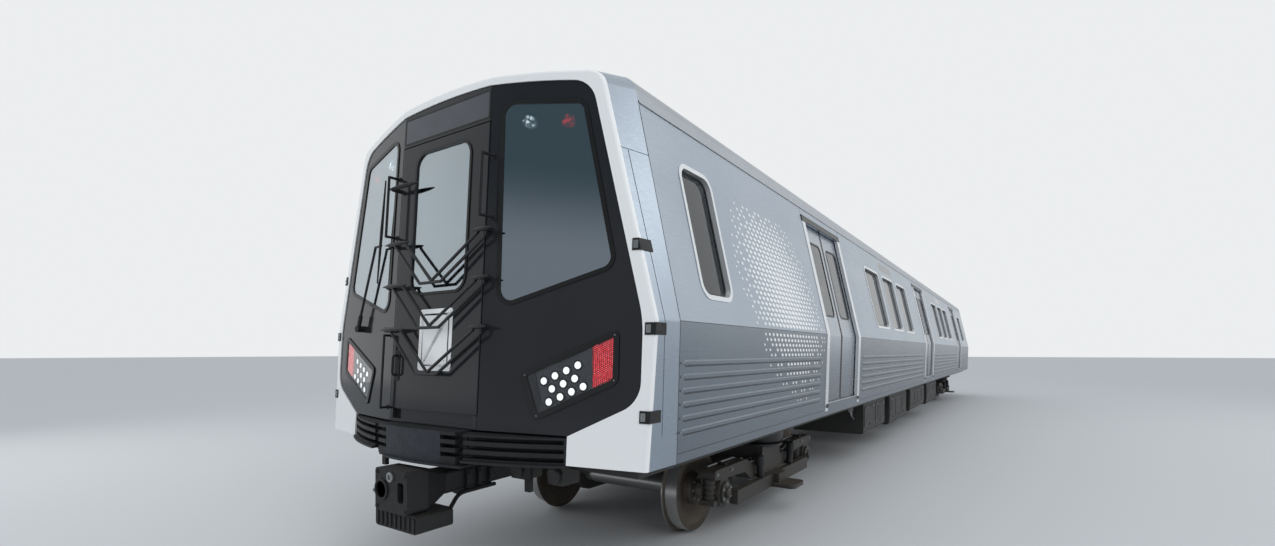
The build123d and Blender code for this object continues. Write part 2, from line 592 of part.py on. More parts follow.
# Raised flutes along the lower side panels, between the doorways
FLUTE_COUNT, FLUTE_TOP_Z, FLUTE_PITCH = 6, RAIL_Z + 1464.0, 78.4
FLUTE_HEIGHT, FLUTE_PROUD, FLUTE_TAPER = 34.0, 7.0, 48.0
FLUTE_DOOR_GAP, FLUTE_END_GAP = 265.0, 50.0
door_sides = [centre + way * (HALF_OPENING + FLUTE_DOOR_GAP) for centre in DOOR_CENTRES for way in (1, -1)]
bay_ends = [WALL_END - FLUTE_END_GAP, *door_sides, WALL_START + FLUTE_END_GAP]
flute_bays = list(zip(bay_ends[0::2], bay_ends[1::2]))  # fore end, aft end
panel_normal = Vector(0, BELT_Z - SILL_Z, SILL_HALF - BELT_HALF).normalized()
flute_plane = Plane((0, side_half(FLUTE_TOP_Z), FLUTE_TOP_Z), x_dir=(-1, 0, 0), z_dir=panel_normal)
with BuildSketch(flute_plane, mode=Mode.PRIVATE) as flute_lines:
    for fore, aft in flute_bays:
        with Locations(*[(-(fore + aft) / 2, -row * FLUTE_PITCH) for row in range(FLUTE_COUNT)]):
            SlotOverall(fore - aft, FLUTE_HEIGHT)
with BuildPart() as left_wall:
    add(wall_layer)
    extrude(flute_lines.sketch, amount=FLUTE_PROUD, taper=FLUTE_TAPER)
    for cut in door_cuts + window_cuts + sign_recesses:
        add(cut, mode=Mode.SUBTRACT)
write(left_wall, "side_wall_left")
with BuildPart() as right_wall:
    mirror(left_wall.part, about=Plane.XZ)
write(right_wall, "side_wall_right")

# Sign windows: one above the cab end door and one above each bay of side windows
with BuildPart() as sign_windows:
    add(face_panel(face_box(SIGN_HALF, SIGN_LOW_Z, SIGN_HIGH_Z), MASK_RECESS, MASK_RECESS + MASK_THICK))
    for recess in sign_recesses:
        add(both_sides(recess))
write(sign_windows, "sign_windows")

# Side panes, set back in bright frames that line the window openings
glass_layer = side_layer(
    GLASS_SET_BACK, GLASS_SET_BACK + GLASS_THICK, CAB_WINDOW_LOW_Z, CAB_WINDOW_HIGH_Z, WALL_START, WALL_END
)
FRAME_BAND = (WINDOW_LOW_Z - 100, WINDOW_HIGH_Z + 100, WALL_START, WALL_END)
flange_layer = side_layer(-FRAME_PROUD, 0, *FRAME_BAND)
lining_layer = side_layer(0, GLASS_SET_BACK + GLASS_THICK + FRAME_LINING, *FRAME_BAND)


def grown(window, grow):
    """A side window's block, larger all round by an amount."""
    centre, width, low, high = window
    return side_window(centre, width + 2 * grow, low - grow, high + grow, WINDOW_RADIUS + grow)


panes = [glass_layer & grown(window, -FRAME_LINING - FIT) for window in side_windows]
frames = []
for window in side_windows:
    whole_frame = (flange_layer & grown(window, FRAME_WIDTH)) + (lining_layer & grown(window, -FIT))
    frames.append(whole_frame - grown(window, -FRAME_LINING))

# Bright jambs that turn into each doorway, and dark headers above
JAMB_WIDTH, JAMB_RETURN, HEADER_HEIGHT, TRIM_PROUD = 85.0, 12.0, 62.0, 4.0
door_trims = []
header_bars = []
for centre in DOOR_CENTRES:
    for side in (1, -1):
        edge = centre + side * HALF_OPENING
        inner, outer = edge - side * JAMB_RETURN, edge + side * JAMB_WIDTH
        door_trims.append(side_layer(-TRIM_PROUD, 0, SILL_Z + 40, DOOR_TOP_Z, min(inner, outer), max(inner, outer)))
        seat = edge - side * FIT
        door_trims.append(side_layer(0, SKIN, FLOOR_Z, DOOR_TOP_Z - FIT, min(inner, seat), max(inner, seat)))
    header_ends = (centre - HALF_OPENING - JAMB_WIDTH, centre + HALF_OPENING + JAMB_WIDTH)
    header_bars.append(side_layer(-2 * TRIM_PROUD, 0, DOOR_TOP_Z, DOOR_TOP_Z + HEADER_HEIGHT, *header_ends))
with BuildPart() as door_jambs:
    for trim in door_trims:
        add(both_sides(trim))
write(door_jambs, "door_jambs")
with BuildPart() as door_headers:
    for bar in header_bars:
        add(both_sides(bar))
write(door_headers, "door_headers")

# Sliding door leaves, each with its pane and a guide tongue in the threshold
LEAF_LENGTH = HALF_OPENING + LEAF_LAP - LEAF_MEETING_GAP / 2
DOOR_NAMES = ("front", "middle", "rear")
for door_name, centre in zip(DOOR_NAMES, DOOR_CENTRES):
    for leaf_name, way in (("fore", 1), ("aft", -1)):
        meeting = centre + way * LEAF_MEETING_GAP / 2
        outer_edge = meeting + way * LEAF_LENGTH
        ends = (min(meeting, outer_edge), max(meeting, outer_edge))
        leaf_middle = (meeting + centre + way * HALF_OPENING) / 2
        window = (leaf_middle, LEAF_WINDOW_WIDTH, LEAF_WINDOW_LOW_Z, LEAF_WINDOW_HIGH_Z)
        panel = side_layer(LEAF_DEPTH, LEAF_DEPTH + LEAF_THICK, LEAF_LOW_Z, LEAF_TOP_Z, *ends)
        tongue = side_layer(GUIDE_DEPTH, GUIDE_DEPTH + GUIDE_THICK, FLOOR_Z - GUIDE_HEIGHT, LEAF_LOW_Z, *ends)
        hole = side_window(*window, 60.0)
        pane_hole = side_window(
            leaf_middle, LEAF_WINDOW_WIDTH - 2 * FIT, LEAF_WINDOW_LOW_Z + FIT, LEAF_WINDOW_HIGH_Z - FIT, 60.0 - FIT
        )
        pane = side_layer(LEAF_DEPTH + 3, LEAF_DEPTH + 3 + GLASS_THICK, LEAF_WINDOW_LOW_Z, LEAF_WINDOW_HIGH_Z, *ends)
        with BuildPart() as leaf:
            add(panel)
            add(tongue)
            add(hole, mode=Mode.SUBTRACT)
            add(pane & pane_hole)
        write(leaf, f"door_{door_name}_left_{leaf_name}")
        with BuildPart() as twin:
            mirror(leaf.part, about=Plane.XZ)
        write(twin, f"door_{door_name}_right_{leaf_name}")

# Roof with its gutters and two openings for the air conditioning units
HVAC_CENTRES = (BOGIE_X - 2725.0, 2725.0 - BOGIE_X)
HVAC_LENGTH, HVAC_HALF, HVAC_LOW_Z = 2600.0, 780.0, ROOF_TOP_Z - 226.0
GUTTER_PROUD, GUTTER_HEIGHT = 6.0, 14.0
ROOF_RISE = ROOF_TOP_Z - SHOULDER_Z
ROOF_RADIUS = (SHOULDER_HALF**2 + ROOF_RISE**2) / (2 * ROOF_RISE)
RIB_RADIUS, RIB_PITCH, RIBS_A_SIDE = 9.0, 130.0, 8


def roof_shell(start, end):
    """Roof between two stations, hollow below."""
    outer = body_section(start, BODY_BENDS, ROOF_TOP_Z)
    inner = body_section(start, thinner(BODY_BENDS, ROOF_THICK), ROOF_TOP_Z - ROOF_THICK)
    above = block((start, -BELT_HALF, GUTTER_Z), (end, BELT_HALF, ROOF_TOP_Z + 10))
    return (solid_of(outer, end - start) - solid_of(inner, end - start)) & above


roof_form = solid_of(body_section(REAR_X, BODY_BENDS, ROOF_TOP_Z), CAB_JOINT_X - REAR_X)
hvac_blocks = [
    block((x - HVAC_LENGTH / 2, -HVAC_HALF, HVAC_LOW_Z), (x + HVAC_LENGTH / 2, HVAC_HALF, ROOF_TOP_Z + 10))
    for x in HVAC_CENTRES
]
gutter = side_layer(
    -GUTTER_PROUD, 20, GUTTER_Z + GUTTER_HEIGHT, GUTTER_Z + 2 * GUTTER_HEIGHT, WALL_START, WALL_END
)
with BuildPart() as roof:
    add(roof_shell(WALL_START, WALL_END))
    add(both_sides(gutter))
    for rib in range(RIBS_A_SIDE):
        across = RIB_PITCH * (rib + 0.5)
        height = ROOF_TOP_Z - ROOF_RADIUS + (ROOF_RADIUS**2 - across**2) ** 0.5
        with BuildSketch(Plane.YZ.offset(WALL_START)):
            with Locations((across, height), (-across, height)):
                Circle(RIB_RADIUS)
        extrude(amount=WALL_END - WALL_START)
    for opening in hvac_blocks:
        add(opening, mode=Mode.SUBTRACT)
write(roof, "roof")

# Air conditioning units: fans in wells under ring guards, and louvred vents between them
FAN_RADIUS, FAN_OFFSET, FAN_WELL = 260.0, 650.0, 70.0
FAN_HUB, FAN_BLADES, BLADE_THICK, BLADE_TILT = 60.0, 5, 6.0, 28.0
GUARD_RINGS, GUARD_WIDTH, GUARD_SPOKES = (95.0, 150.0, 205.0), 8.0, 6
VENT_COUNT, VENT_PITCH, VENT_WIDTH, VENT_LENGTH, VENT_DEPTH = 9, 42.0, 20.0, 620.0, 12.0
with BuildPart() as hvac_unit:
    middle_x = HVAC_CENTRES[0]
    add(roof_form & hvac_blocks[0])
    fan_places = [(middle_x + way * FAN_OFFSET, 0) for way in (1, -1)]
    for place in fan_places:
        with Locations((*place, ROOF_TOP_Z - FAN_WELL)):
            Cylinder(FAN_RADIUS, 2 * FAN_WELL, align=(Align.CENTER, Align.CENTER, Align.MIN), mode=Mode.SUBTRACT)
            Cylinder(FAN_HUB, FAN_WELL - 12, align=(Align.CENTER, Align.CENTER, Align.MIN))
            with PolarLocations(FAN_RADIUS / 2, FAN_BLADES):
                with Locations(Location((0, 0, 30), (BLADE_TILT, 0, 0))):
                    Box(FAN_RADIUS - 12, 110, BLADE_THICK)
        with Locations((*place, ROOF_TOP_Z - 14)):
            with PolarLocations(FAN_RADIUS / 2, GUARD_SPOKES):
                Box(FAN_RADIUS + 4, GUARD_WIDTH, 6)
    with BuildSketch(Plane.XY.offset(ROOF_TOP_Z - 17)):
        for radius in GUARD_RINGS:
            with Locations(*fan_places):
                Circle(radius)
                Circle(radius - GUARD_WIDTH, mode=Mode.SUBTRACT)
    extrude(amount=6)
    with Locations((middle_x, 0, ROOF_TOP_Z - 5)):
        with GridLocations(VENT_PITCH, 0, VENT_COUNT, 1):
            Box(VENT_WIDTH, VENT_LENGTH, 2 * VENT_DEPTH, mode=Mode.SUBTRACT)
with BuildPart() as hvac_units:
    for middle_x in HVAC_CENTRES:
        add(Pos(middle_x - HVAC_CENTRES[0], 0, 0) * hvac_unit.part)
write(hvac_units, "hvac_units")

# Rear end wall with a doorway and two windows
REAR_DOOR_HALF, REAR_DOOR_HIGH_Z = 430.0, FLOOR_Z + 1950.0
REAR_DOOR_THICK = 40.0
REAR_GLASS_Y, REAR_GLASS_WIDTH = 880.0, 480.0
REAR_PIN_DEPTH = 40.0
RIM_WIDTH, RIM_PROUD = 55.0, 12.0
rear_panes = [(side * REAR_GLASS_Y, REAR_GLASS_WIDTH, WINDOW_LOW_Z, WINDOW_HIGH_Z) for side in (1, -1)]


def rear_window(centre, width, low, high, radius):
    """A rounded block through the rear wall."""
    with BuildSketch(Plane.YZ.offset(REAR_X - 400), mode=Mode.PRIVATE) as pane:
        with Locations((centre, (low + high) / 2)):
            RectangleRounded(width, high - low, radius)
    return solid_of(pane.sketch, 800)


rear_hinge_y = REAR_DOOR_HALF - END_PIN_EDGE
rear_hinge_x = REAR_X - REAR_WALL + REAR_PIN_DEPTH
rear_pins = [(rear_hinge_x, rear_hinge_y, z) for z in (FLOOR_Z + END_DOOR_GAP, REAR_DOOR_HIGH_Z)]
with BuildPart() as rear_end:
    add(solid_of(body_section(REAR_X - REAR_WALL, BODY_BENDS, ROOF_TOP_Z), REAR_WALL))
    add(
        block(
            (REAR_X - 100, -REAR_DOOR_HALF - END_DOOR_GAP, FLOOR_Z),
            (REAR_X + 10, REAR_DOOR_HALF + END_DOOR_GAP, REAR_DOOR_HIGH_Z + END_DOOR_GAP),
        ),
        mode=Mode.SUBTRACT,
    )
    for pane in rear_panes:
        add(rear_window(*pane, WINDOW_RADIUS), mode=Mode.SUBTRACT)
    for pin in rear_pins:
        with Locations(pin):
            Cylinder(END_PIN_RADIUS + FIT, 2 * PIN_REACH + 2 * FIT, mode=Mode.SUBTRACT)
    rim = block(
        (REAR_X - REAR_WALL - RIM_PROUD, -REAR_DOOR_HALF - RIM_WIDTH, ANTICLIMBER_TOP_Z + FIT),
        (REAR_X - REAR_WALL, REAR_DOOR_HALF + RIM_WIDTH, REAR_DOOR_HIGH_Z + RIM_WIDTH),
    )
    doorway = block(
        (REAR_X - 100, -REAR_DOOR_HALF - END_DOOR_GAP, FLOOR_Z - 1),
        (REAR_X + 10, REAR_DOOR_HALF + END_DOOR_GAP, REAR_DOOR_HIGH_Z + END_DOOR_GAP),
    )
    add(rim - doorway)
write(rear_end, "rear_end")

rear_door_pane = (0.0, 2 * END_WINDOW_HALF, WINDOW_LOW_Z, WINDOW_HIGH_Z)
with BuildPart() as rear_end_door:
    add(
        block(
            (REAR_X - REAR_WALL + 8, -REAR_DOOR_HALF, FLOOR_Z + END_DOOR_GAP),
            (REAR_X - REAR_WALL + 8 + REAR_DOOR_THICK, REAR_DOOR_HALF, REAR_DOOR_HIGH_Z),
        )
    )
    add(rear_window(*rear_door_pane, WINDOW_RADIUS), mode=Mode.SUBTRACT)
    with Locations(*rear_pins):
        Cylinder(END_PIN_RADIUS, 2 * PIN_REACH)
    shrunk = rear_window(0.0, 2 * END_WINDOW_HALF - 2 * FIT, WINDOW_LOW_Z + FIT, WINDOW_HIGH_Z - FIT, WINDOW_RADIUS - FIT)
    pane_x = REAR_X - REAR_WALL + 20
    add(shrunk & block((pane_x, -REAR_DOOR_HALF, 0), (pane_x + GLASS_THICK, REAR_DOOR_HALF, ROOF_TOP_Z)))
write(rear_end_door, "rear_end_door")

# Window frames all round the car, and the fixed panes in them
REAR_OUTER_X = REAR_X - REAR_WALL
REAR_GLASS_X = REAR_OUTER_X + 20.0


def rear_grown(window, grow):
    """A rear window's block, larger all round by an amount."""
    centre, width, low, high = window
    return rear_window(centre, width + 2 * grow, low - grow, high + grow, WINDOW_RADIUS + grow)


with BuildPart() as window_frames:
    for frame in frames:
        add(both_sides(frame))
    for window in rear_panes:
        flange = block((REAR_OUTER_X - FRAME_PROUD, -BELT_HALF, 0), (REAR_OUTER_X, BELT_HALF, ROOF_TOP_Z))
        lining = block((REAR_OUTER_X, -BELT_HALF, 0), (REAR_X, BELT_HALF, ROOF_TOP_Z))
        whole_frame = (flange & rear_grown(window, FRAME_WIDTH)) + (lining & rear_grown(window, -FIT))
        add(whole_frame - rear_grown(window, -FRAME_LINING))
write(window_frames, "window_frames")

with BuildPart() as body_glass:
    for pane in panes:
        add(both_sides(pane))
    for window in rear_panes:
        sheet = block((REAR_GLASS_X, -BELT_HALF, 0), (REAR_GLASS_X + GLASS_THICK, BELT_HALF, ROOF_TOP_Z))
        add(sheet & rear_grown(window, -FRAME_LINING - FIT))
write(body_glass, "body_glass")

# Floor slab
FLOOR_HALF = side_half(FLOOR_Z - FLOOR_THICK) - WALL
FLOOR_END_X = CORNER_X - 60.0
with BuildPart() as floor:
    add(block((REAR_X, -FLOOR_HALF, FLOOR_Z - FLOOR_THICK), (FLOOR_END_X, FLOOR_HALF, FLOOR_Z)))
write(floor, "floor")

# Underframe: sills, cross beams, body bolsters with pivot pins, draft sills and jacking pads
BEAM_TOP_Z = FLOOR_Z - FLOOR_THICK
SIDE_SILL_HALF, SIDE_SILL_WIDTH = SILL_HALF - 130.0, 110.0
CROSSBEAM_COUNT, CROSSBEAM_WIDTH, CROSSBEAM_PITCH = 11, 100.0, 1300.0
DRAFT_HALF = 260.0
END_SILL_DEPTH = 160.0
PIVOT_LOW_Z = 600.0
COUPLER_PIN_RADIUS, COUPLER_PIN_LOW_Z = 42.0, COUPLER_Z - 110.0
PAD_X, PAD_LENGTH, PAD_WIDTH, PAD_LOW_Z = BOGIE_X - 1900.0, 240.0, 110.0, CROSSBEAM_Z - 40.0
UNDERFRAME_FRONT_X, UNDERFRAME_REAR_X = ANTICLIMBER_BACK_X, REAR_X
with BuildPart() as underframe:
    for side in (1, -1):
        outer, inner = side * SIDE_SILL_HALF, side * (SIDE_SILL_HALF - SIDE_SILL_WIDTH)
        add(
            block(
                (UNDERFRAME_REAR_X, min(outer, inner), CROSSBEAM_Z),
                (UNDERFRAME_FRONT_X, max(outer, inner), BEAM_TOP_Z),
            )
        )
    with Locations((0, 0, (CROSSBEAM_Z + BEAM_TOP_Z) / 2)):
        with GridLocations(CROSSBEAM_PITCH, 0, CROSSBEAM_COUNT, 1):
            Box(CROSSBEAM_WIDTH, 2 * SIDE_SILL_HALF, BEAM_TOP_Z - CROSSBEAM_Z)
        with Locations((BOGIE_X, 0), (-BOGIE_X, 0)):
            Box(BOLSTER_LENGTH, 2 * SIDE_SILL_HALF, BEAM_TOP_Z - CROSSBEAM_Z)
    for near, far in ((BOGIE_X, UNDERFRAME_FRONT_X), (UNDERFRAME_REAR_X, -BOGIE_X)):
        add(block((near, -DRAFT_HALF, CROSSBEAM_Z), (far, DRAFT_HALF, BEAM_TOP_Z)))
    end_sills = (
        (UNDERFRAME_FRONT_X - END_SILL_DEPTH, UNDERFRAME_FRONT_X),
        (UNDERFRAME_REAR_X, UNDERFRAME_REAR_X + END_SILL_DEPTH),
    )
    for near, far in end_sills:
        add(block((near, -SIDE_SILL_HALF, CROSSBEAM_Z), (far, SIDE_SILL_HALF, BEAM_TOP_Z)))
    for end in (1, -1):
        for side in (1, -1):
            with Locations((end * PAD_X, side * (SIDE_SILL_HALF - PAD_WIDTH / 2), (PAD_LOW_Z + CROSSBEAM_Z) / 2)):
                Box(PAD_LENGTH, PAD_WIDTH, CROSSBEAM_Z - PAD_LOW_Z)
write(underframe, "underframe")

# Pivot pins of the bogies and couplers, under the bolsters and draft sills
with BuildPart() as pivot_pins:
    for end in (1, -1):
        with Locations((end * BOGIE_X, 0, (PIVOT_LOW_Z + CROSSBEAM_Z) / 2)):
            Cylinder(PIVOT_RADIUS, CROSSBEAM_Z - PIVOT_LOW_Z)
        with Locations((end * COUPLER_PIVOT_X, 0, (COUPLER_PIN_LOW_Z + CROSSBEAM_Z) / 2)):
            Cylinder(COUPLER_PIN_RADIUS, CROSSBEAM_Z - COUPLER_PIN_LOW_Z)
write(pivot_pins, "pivot_pins")

# Boxes and air tanks hung under the floor between the bogies
EQUIPMENT = (  # middle along the car, length, inner and outer edge across it, underside, lids
    (4300.0, 1500.0, 350.0, 1330.0, 420.0, 2),
    (4300.0, 1500.0, -300.0, -1330.0, 400.0, 3),
    (2300.0, 1700.0, 250.0, 1330.0, 360.0, 3),
    (2400.0, 1900.0, -250.0, -1330.0, 360.0, 2),
    (0.0, 2000.0, 300.0, 1330.0, 400.0, 4),
    (-150.0, 2100.0, -400.0, -1330.0, 420.0, 3),
    (-2300.0, 1800.0, 350.0, 1330.0, 360.0, 3),
    (-2700.0, 1500.0, -350.0, -1330.0, 400.0, 2),
)
BOX_EDGE_RADIUS = 45.0
LID_GAP, LID_PROUD, LID_LOW, LID_TOP = 40.0, 8.0, 90.0, 70.0
LATCH_LENGTH, LATCH_HEIGHT, LATCH_PROUD = 90.0, 26.0, 16.0


def equipment_box(middle, length, inner, outer, low):
    """A box with its lower long edges rounded."""
    near, far = min(inner, outer), max(inner, outer)
    with BuildPart(mode=Mode.PRIVATE) as box:
        add(block((middle - length / 2, near, low), (middle + length / 2, far, CROSSBEAM_Z)))
        fillet(box.edges().filter_by(Axis.X).group_by(Axis.Z)[0], BOX_EDGE_RADIUS)
    return box.part


with BuildPart() as equipment_boxes:
    for middle, length, inner, outer, low, lids in EQUIPMENT:
        add(equipment_box(middle, length, inner, outer, low))
        lid_pitch = (length - LID_GAP) / lids
        lid_middle_z = (low + LID_LOW + CROSSBEAM_Z - LID_TOP) / 2
        with Locations((middle, outer, lid_middle_z)):
            with GridLocations(lid_pitch, 0, lids, 1):
                Box(lid_pitch - LID_GAP, 2 * LID_PROUD, CROSSBEAM_Z - LID_TOP - low - LID_LOW)
        with Locations((middle, outer, low + LID_LOW + LATCH_HEIGHT)):
            with GridLocations(lid_pitch, 0, lids, 1):
                Box(LATCH_LENGTH, 2 * LATCH_PROUD, LATCH_HEIGHT)
write(equipment_boxes, "equipment_boxes")

TANK_RADIUS, TANK_LENGTH, TANK_Z = 190.0, 1400.0, 640.0
TANK_MIDDLE_X = -3.5 * CROSSBEAM_PITCH
TANK_PLACES = (800.0, 380.0, -760.0)  # places across the car
TANK_STRAP = 60.0
TANK_END_RADIUS = 110.0
with BuildPart() as air_tanks:
    for across in TANK_PLACES:
        with BuildPart(mode=Mode.PRIVATE) as tank:
            with Locations(Location((TANK_MIDDLE_X, across, TANK_Z), (0, 90, 0))):
                Cylinder(TANK_RADIUS, TANK_LENGTH)
            fillet(tank.edges().filter_by(GeomType.CIRCLE), TANK_END_RADIUS)
        add(tank.part)
        for end in (1, -1):
            with Locations((TANK_MIDDLE_X + end * CROSSBEAM_PITCH / 2, across, (TANK_Z + CROSSBEAM_Z) / 2)):
                Box(TANK_STRAP, 2 * TANK_STRAP, CROSSBEAM_Z - TANK_Z)
write(air_tanks, "air_tanks")

# Wheelsets: one turned form for half an axle with its wheel
RIM_RADIUS, WEB_RADIUS, HUB_RADIUS = 300.0, 140.0, 125.0
WEB_CORNER_RADIUS = 10.0
WHEEL_BACK = BACK_TO_BACK / 2
WHEEL_FACE = WHEEL_BACK + WHEEL_WIDTH
FLANGE_TOP = WHEEL_RADIUS + FLANGE_HEIGHT
WHEEL_PROFILE = (  # distance from the car's middle, radius
    (0, 0),
    (0, AXLE_RADIUS),
    (WHEEL_BACK, AXLE_RADIUS),
    (WHEEL_BACK, WHEEL_RADIUS),
    (WHEEL_BACK + 8, FLANGE_TOP),
    (WHEEL_BACK + 20, FLANGE_TOP),
    (WHEEL_BACK + FLANGE_WIDTH, WHEEL_RADIUS + 2),
    (WHEEL_FACE, WHEEL_RADIUS - 3),
    (WHEEL_FACE, RIM_RADIUS),
    (WHEEL_FACE - 50, WEB_RADIUS),
    (WHEEL_FACE + 15, HUB_RADIUS),
    (WHEEL_FACE + 15, JOURNAL_RADIUS),
    (JOURNAL_Y + 70, JOURNAL_RADIUS),
    (JOURNAL_Y + 70, 0),
)


def wheelset_at(x):
    """An axle with its two wheels at a station along the car."""
    web_corners = ((WHEEL_FACE, RIM_RADIUS), (WHEEL_FACE - 50, WEB_RADIUS), (WHEEL_FACE + 15, HUB_RADIUS))
    with BuildPart() as piece:
        with BuildSketch(Plane((x, 0, AXLE_Z), x_dir=(0, 1, 0), z_dir=(1, 0, 0))) as profile:
            with BuildLine():
                Polyline(*WHEEL_PROFILE, close=True)
            make_face()
            corners = [v for v in profile.vertices() if (round(v.X), round(v.Y)) in web_corners]
            fillet(corners, WEB_CORNER_RADIUS)
        revolve(axis=Axis((x, 0, AXLE_Z), (0, 1, 0)))
        mirror(about=Plane.XZ)
    return piece


# Bogies: frame with axle boxes, primary springs, brakes and shoe gear, air springs, motors with gear cases
FRAME_WIDTH_Y, FRAME_REACH, FRAME_TOP_Z = 150.0, AXLE_OFFSET + 185.0, 590.0
FRAME_DIP_Z, FRAME_DEPTH, FRAME_ROUNDING = 520.0, 110.0, 35.0
FRAME_INNER_Y, FRAME_OUTER_Y = JOURNAL_Y - FRAME_WIDTH_Y / 2, JOURNAL_Y + FRAME_WIDTH_Y / 2
BOX_RADIUS, BOX_NECK, COVER_RADIUS, COVER_THICK = 122.0, 150.0, 92.0, 22.0
SADDLE_LENGTH, SADDLE_LOW_Z, SADDLE_THICK = 370.0, 300.0, 42.0
STACK_RADIUS, STACK_OFFSET, STACK_PLATES = 50.0, 130.0, 4
BRAKE_GAP, BRAKE_THICK, BRAKE_HEIGHT, BRAKE_Y = 8.0, 42.0, 210.0, (716.0, 800.0)
SPRING_RADIUS, SPRING_Y, SPRING_NECK = 250.0, JOURNAL_Y - 70.0, 40.0
BOGIE_BOLSTER_LENGTH, BOGIE_BOLSTER_TOP_Z = 480.0, 640.0
TRANSOM_X, TRANSOM_RADIUS, TRANSOM_WEB = 230.0, 65.0, 100.0
MOTOR_RADIUS, MOTOR_LENGTH, MOTOR_X, MOTOR_EDGE = 200.0, 640.0, 560.0, 30.0
MOTOR_OVERLAP = 150.0
GEAR_WIDTH, GEAR_Y, GEAR_REACH, SHAFT_RADIUS = 190.0, -430.0, 160.0, 60.0
SHOE_BEAM_Y, SHOE_Z, SHOE_BEAM_LENGTH = FRAME_OUTER_Y, 260.0, 1940.0
SHOE_LENGTH, SHOE_REACH, SHOE_THICK = 320.0, 220.0, 36.0


def across_car(x, y, z, radius, length):
    """A round bar across the car."""
    return Location((x, y, z), (90, 0, 0)) * Cylinder(radius, length, mode=Mode.PRIVATE)


def side_frame():
    """The left side frame, with a dropped centre and rounded bends."""
    shape = (
        (FRAME_REACH, FRAME_TOP_Z - 80),
        (FRAME_REACH, FRAME_TOP_Z),
        (620, FRAME_TOP_Z),
        (480, FRAME_DIP_Z),
        (-480, FRAME_DIP_Z),
        (-620, FRAME_TOP_Z),
        (-FRAME_REACH, FRAME_TOP_Z),
        (-FRAME_REACH, FRAME_TOP_Z - 80),
        (-660, FRAME_TOP_Z - FRAME_DEPTH),
        (-520, FRAME_DIP_Z - FRAME_DEPTH - 20),
        (520, FRAME_DIP_Z - FRAME_DEPTH - 20),
        (660, FRAME_TOP_Z - FRAME_DEPTH),
    )
    with BuildSketch(Plane((0, FRAME_OUTER_Y, 0), x_dir=(1, 0, 0), z_dir=(0, -1, 0)), mode=Mode.PRIVATE) as outline:
        with BuildLine():
            FilletPolyline(*shape, radius=FRAME_ROUNDING, close=True)
        make_face()
    return solid_of(outline.sketch, FRAME_WIDTH_Y)


def axle_box(x):
    """A left axle box with its saddle, two primary spring stacks and end cover."""
    stack_low_z, stack_top_z = SADDLE_LOW_Z + SADDLE_THICK, FRAME_TOP_Z - 75
    plate_pitch = (stack_top_z - stack_low_z) / STACK_PLATES
    neck_top_z = FRAME_TOP_Z - 40
    with BuildPart(mode=Mode.PRIVATE) as piece:
        add(across_car(x, JOURNAL_Y, AXLE_Z, BOX_RADIUS, FRAME_WIDTH_Y))
        add(across_car(x, FRAME_OUTER_Y + COVER_THICK / 2, AXLE_Z, COVER_RADIUS, COVER_THICK))
        with Locations((x, JOURNAL_Y, (AXLE_Z + neck_top_z) / 2)):
            Box(BOX_NECK, FRAME_WIDTH_Y, neck_top_z - AXLE_Z)
        with Locations((x, JOURNAL_Y, SADDLE_LOW_Z + SADDLE_THICK / 2)):
            Box(SADDLE_LENGTH, FRAME_WIDTH_Y - 20, SADDLE_THICK)
        stacks = [(x + way * STACK_OFFSET, JOURNAL_Y) for way in (1, -1)]
        with Locations(*[(*place, (stack_low_z + stack_top_z) / 2) for place in stacks]):
            Cylinder(STACK_RADIUS - 8, stack_top_z - stack_low_z)
        levels = [stack_low_z + plate_pitch * (plate + 0.5) for plate in range(STACK_PLATES)]
        with Locations(*[(*place, level) for place in stacks for level in levels]):
            Cylinder(STACK_RADIUS, plate_pitch / 2)
    return piece.part


def brake_at(x, way):
    """A curved brake block behind a left wheel's tread, with its hanger to the frame."""
    tread_x = x - way * (WHEEL_RADIUS + BRAKE_GAP)
    back_x = tread_x - way * BRAKE_THICK
    shoe_ends = sorted((tread_x + way * 40, back_x))
    arm_ends = sorted((back_x, back_x - way * 60))
    low, high = AXLE_Z - BRAKE_HEIGHT / 2, AXLE_Z + BRAKE_HEIGHT / 2
    shoe = block((shoe_ends[0], BRAKE_Y[0], low), (shoe_ends[1], BRAKE_Y[1], high))
    shoe -= across_car(x, JOURNAL_Y, AXLE_Z, WHEEL_RADIUS + BRAKE_GAP, 2 * JOURNAL_Y)
    arm = block((arm_ends[0], BRAKE_Y[0] + 20, AXLE_Z - 40), (arm_ends[1], FRAME_INNER_Y + 10, FRAME_DIP_Z))
    return shoe + arm


def shoe_gear():
    """The beam outside the left side frame that carries a collector shoe."""
    with BuildPart(mode=Mode.PRIVATE) as piece:
        with Locations((0, SHOE_BEAM_Y + 60 + SHOE_REACH / 2, SHOE_Z + SHOE_THICK / 2)):
            Box(SHOE_LENGTH, SHOE_REACH, SHOE_THICK)
        fillet(piece.edges().filter_by(Axis.Z).group_by(Axis.Y)[-1], 60)
        with Locations((0, SHOE_BEAM_Y + 30, SHOE_Z + 60)):
            Box(SHOE_BEAM_LENGTH, 60, 120)
        with Locations((0, SHOE_BEAM_Y + 85, SHOE_Z + 70)):
            Box(SHOE_LENGTH - 100, 60, 100)
        with Locations(*[(end * (SHOE_BEAM_LENGTH / 2 - 60), SHOE_BEAM_Y + 5, SHOE_Z + 60) for end in (1, -1)]):
            Box(80, 60, 120)
    return piece.part


with BuildPart() as left_frame:
    add([side_frame(), shoe_gear()])
    add([axle_box(way * AXLE_OFFSET) for way in (1, -1)])
    add([brake_at(way * AXLE_OFFSET, way) for way in (1, -1)])
    bore = (JOURNAL_Y, AXLE_Z, JOURNAL_RADIUS + FIT, FRAME_WIDTH_Y + 4)
    add([across_car(way * AXLE_OFFSET, *bore) for way in (1, -1)], mode=Mode.SUBTRACT)

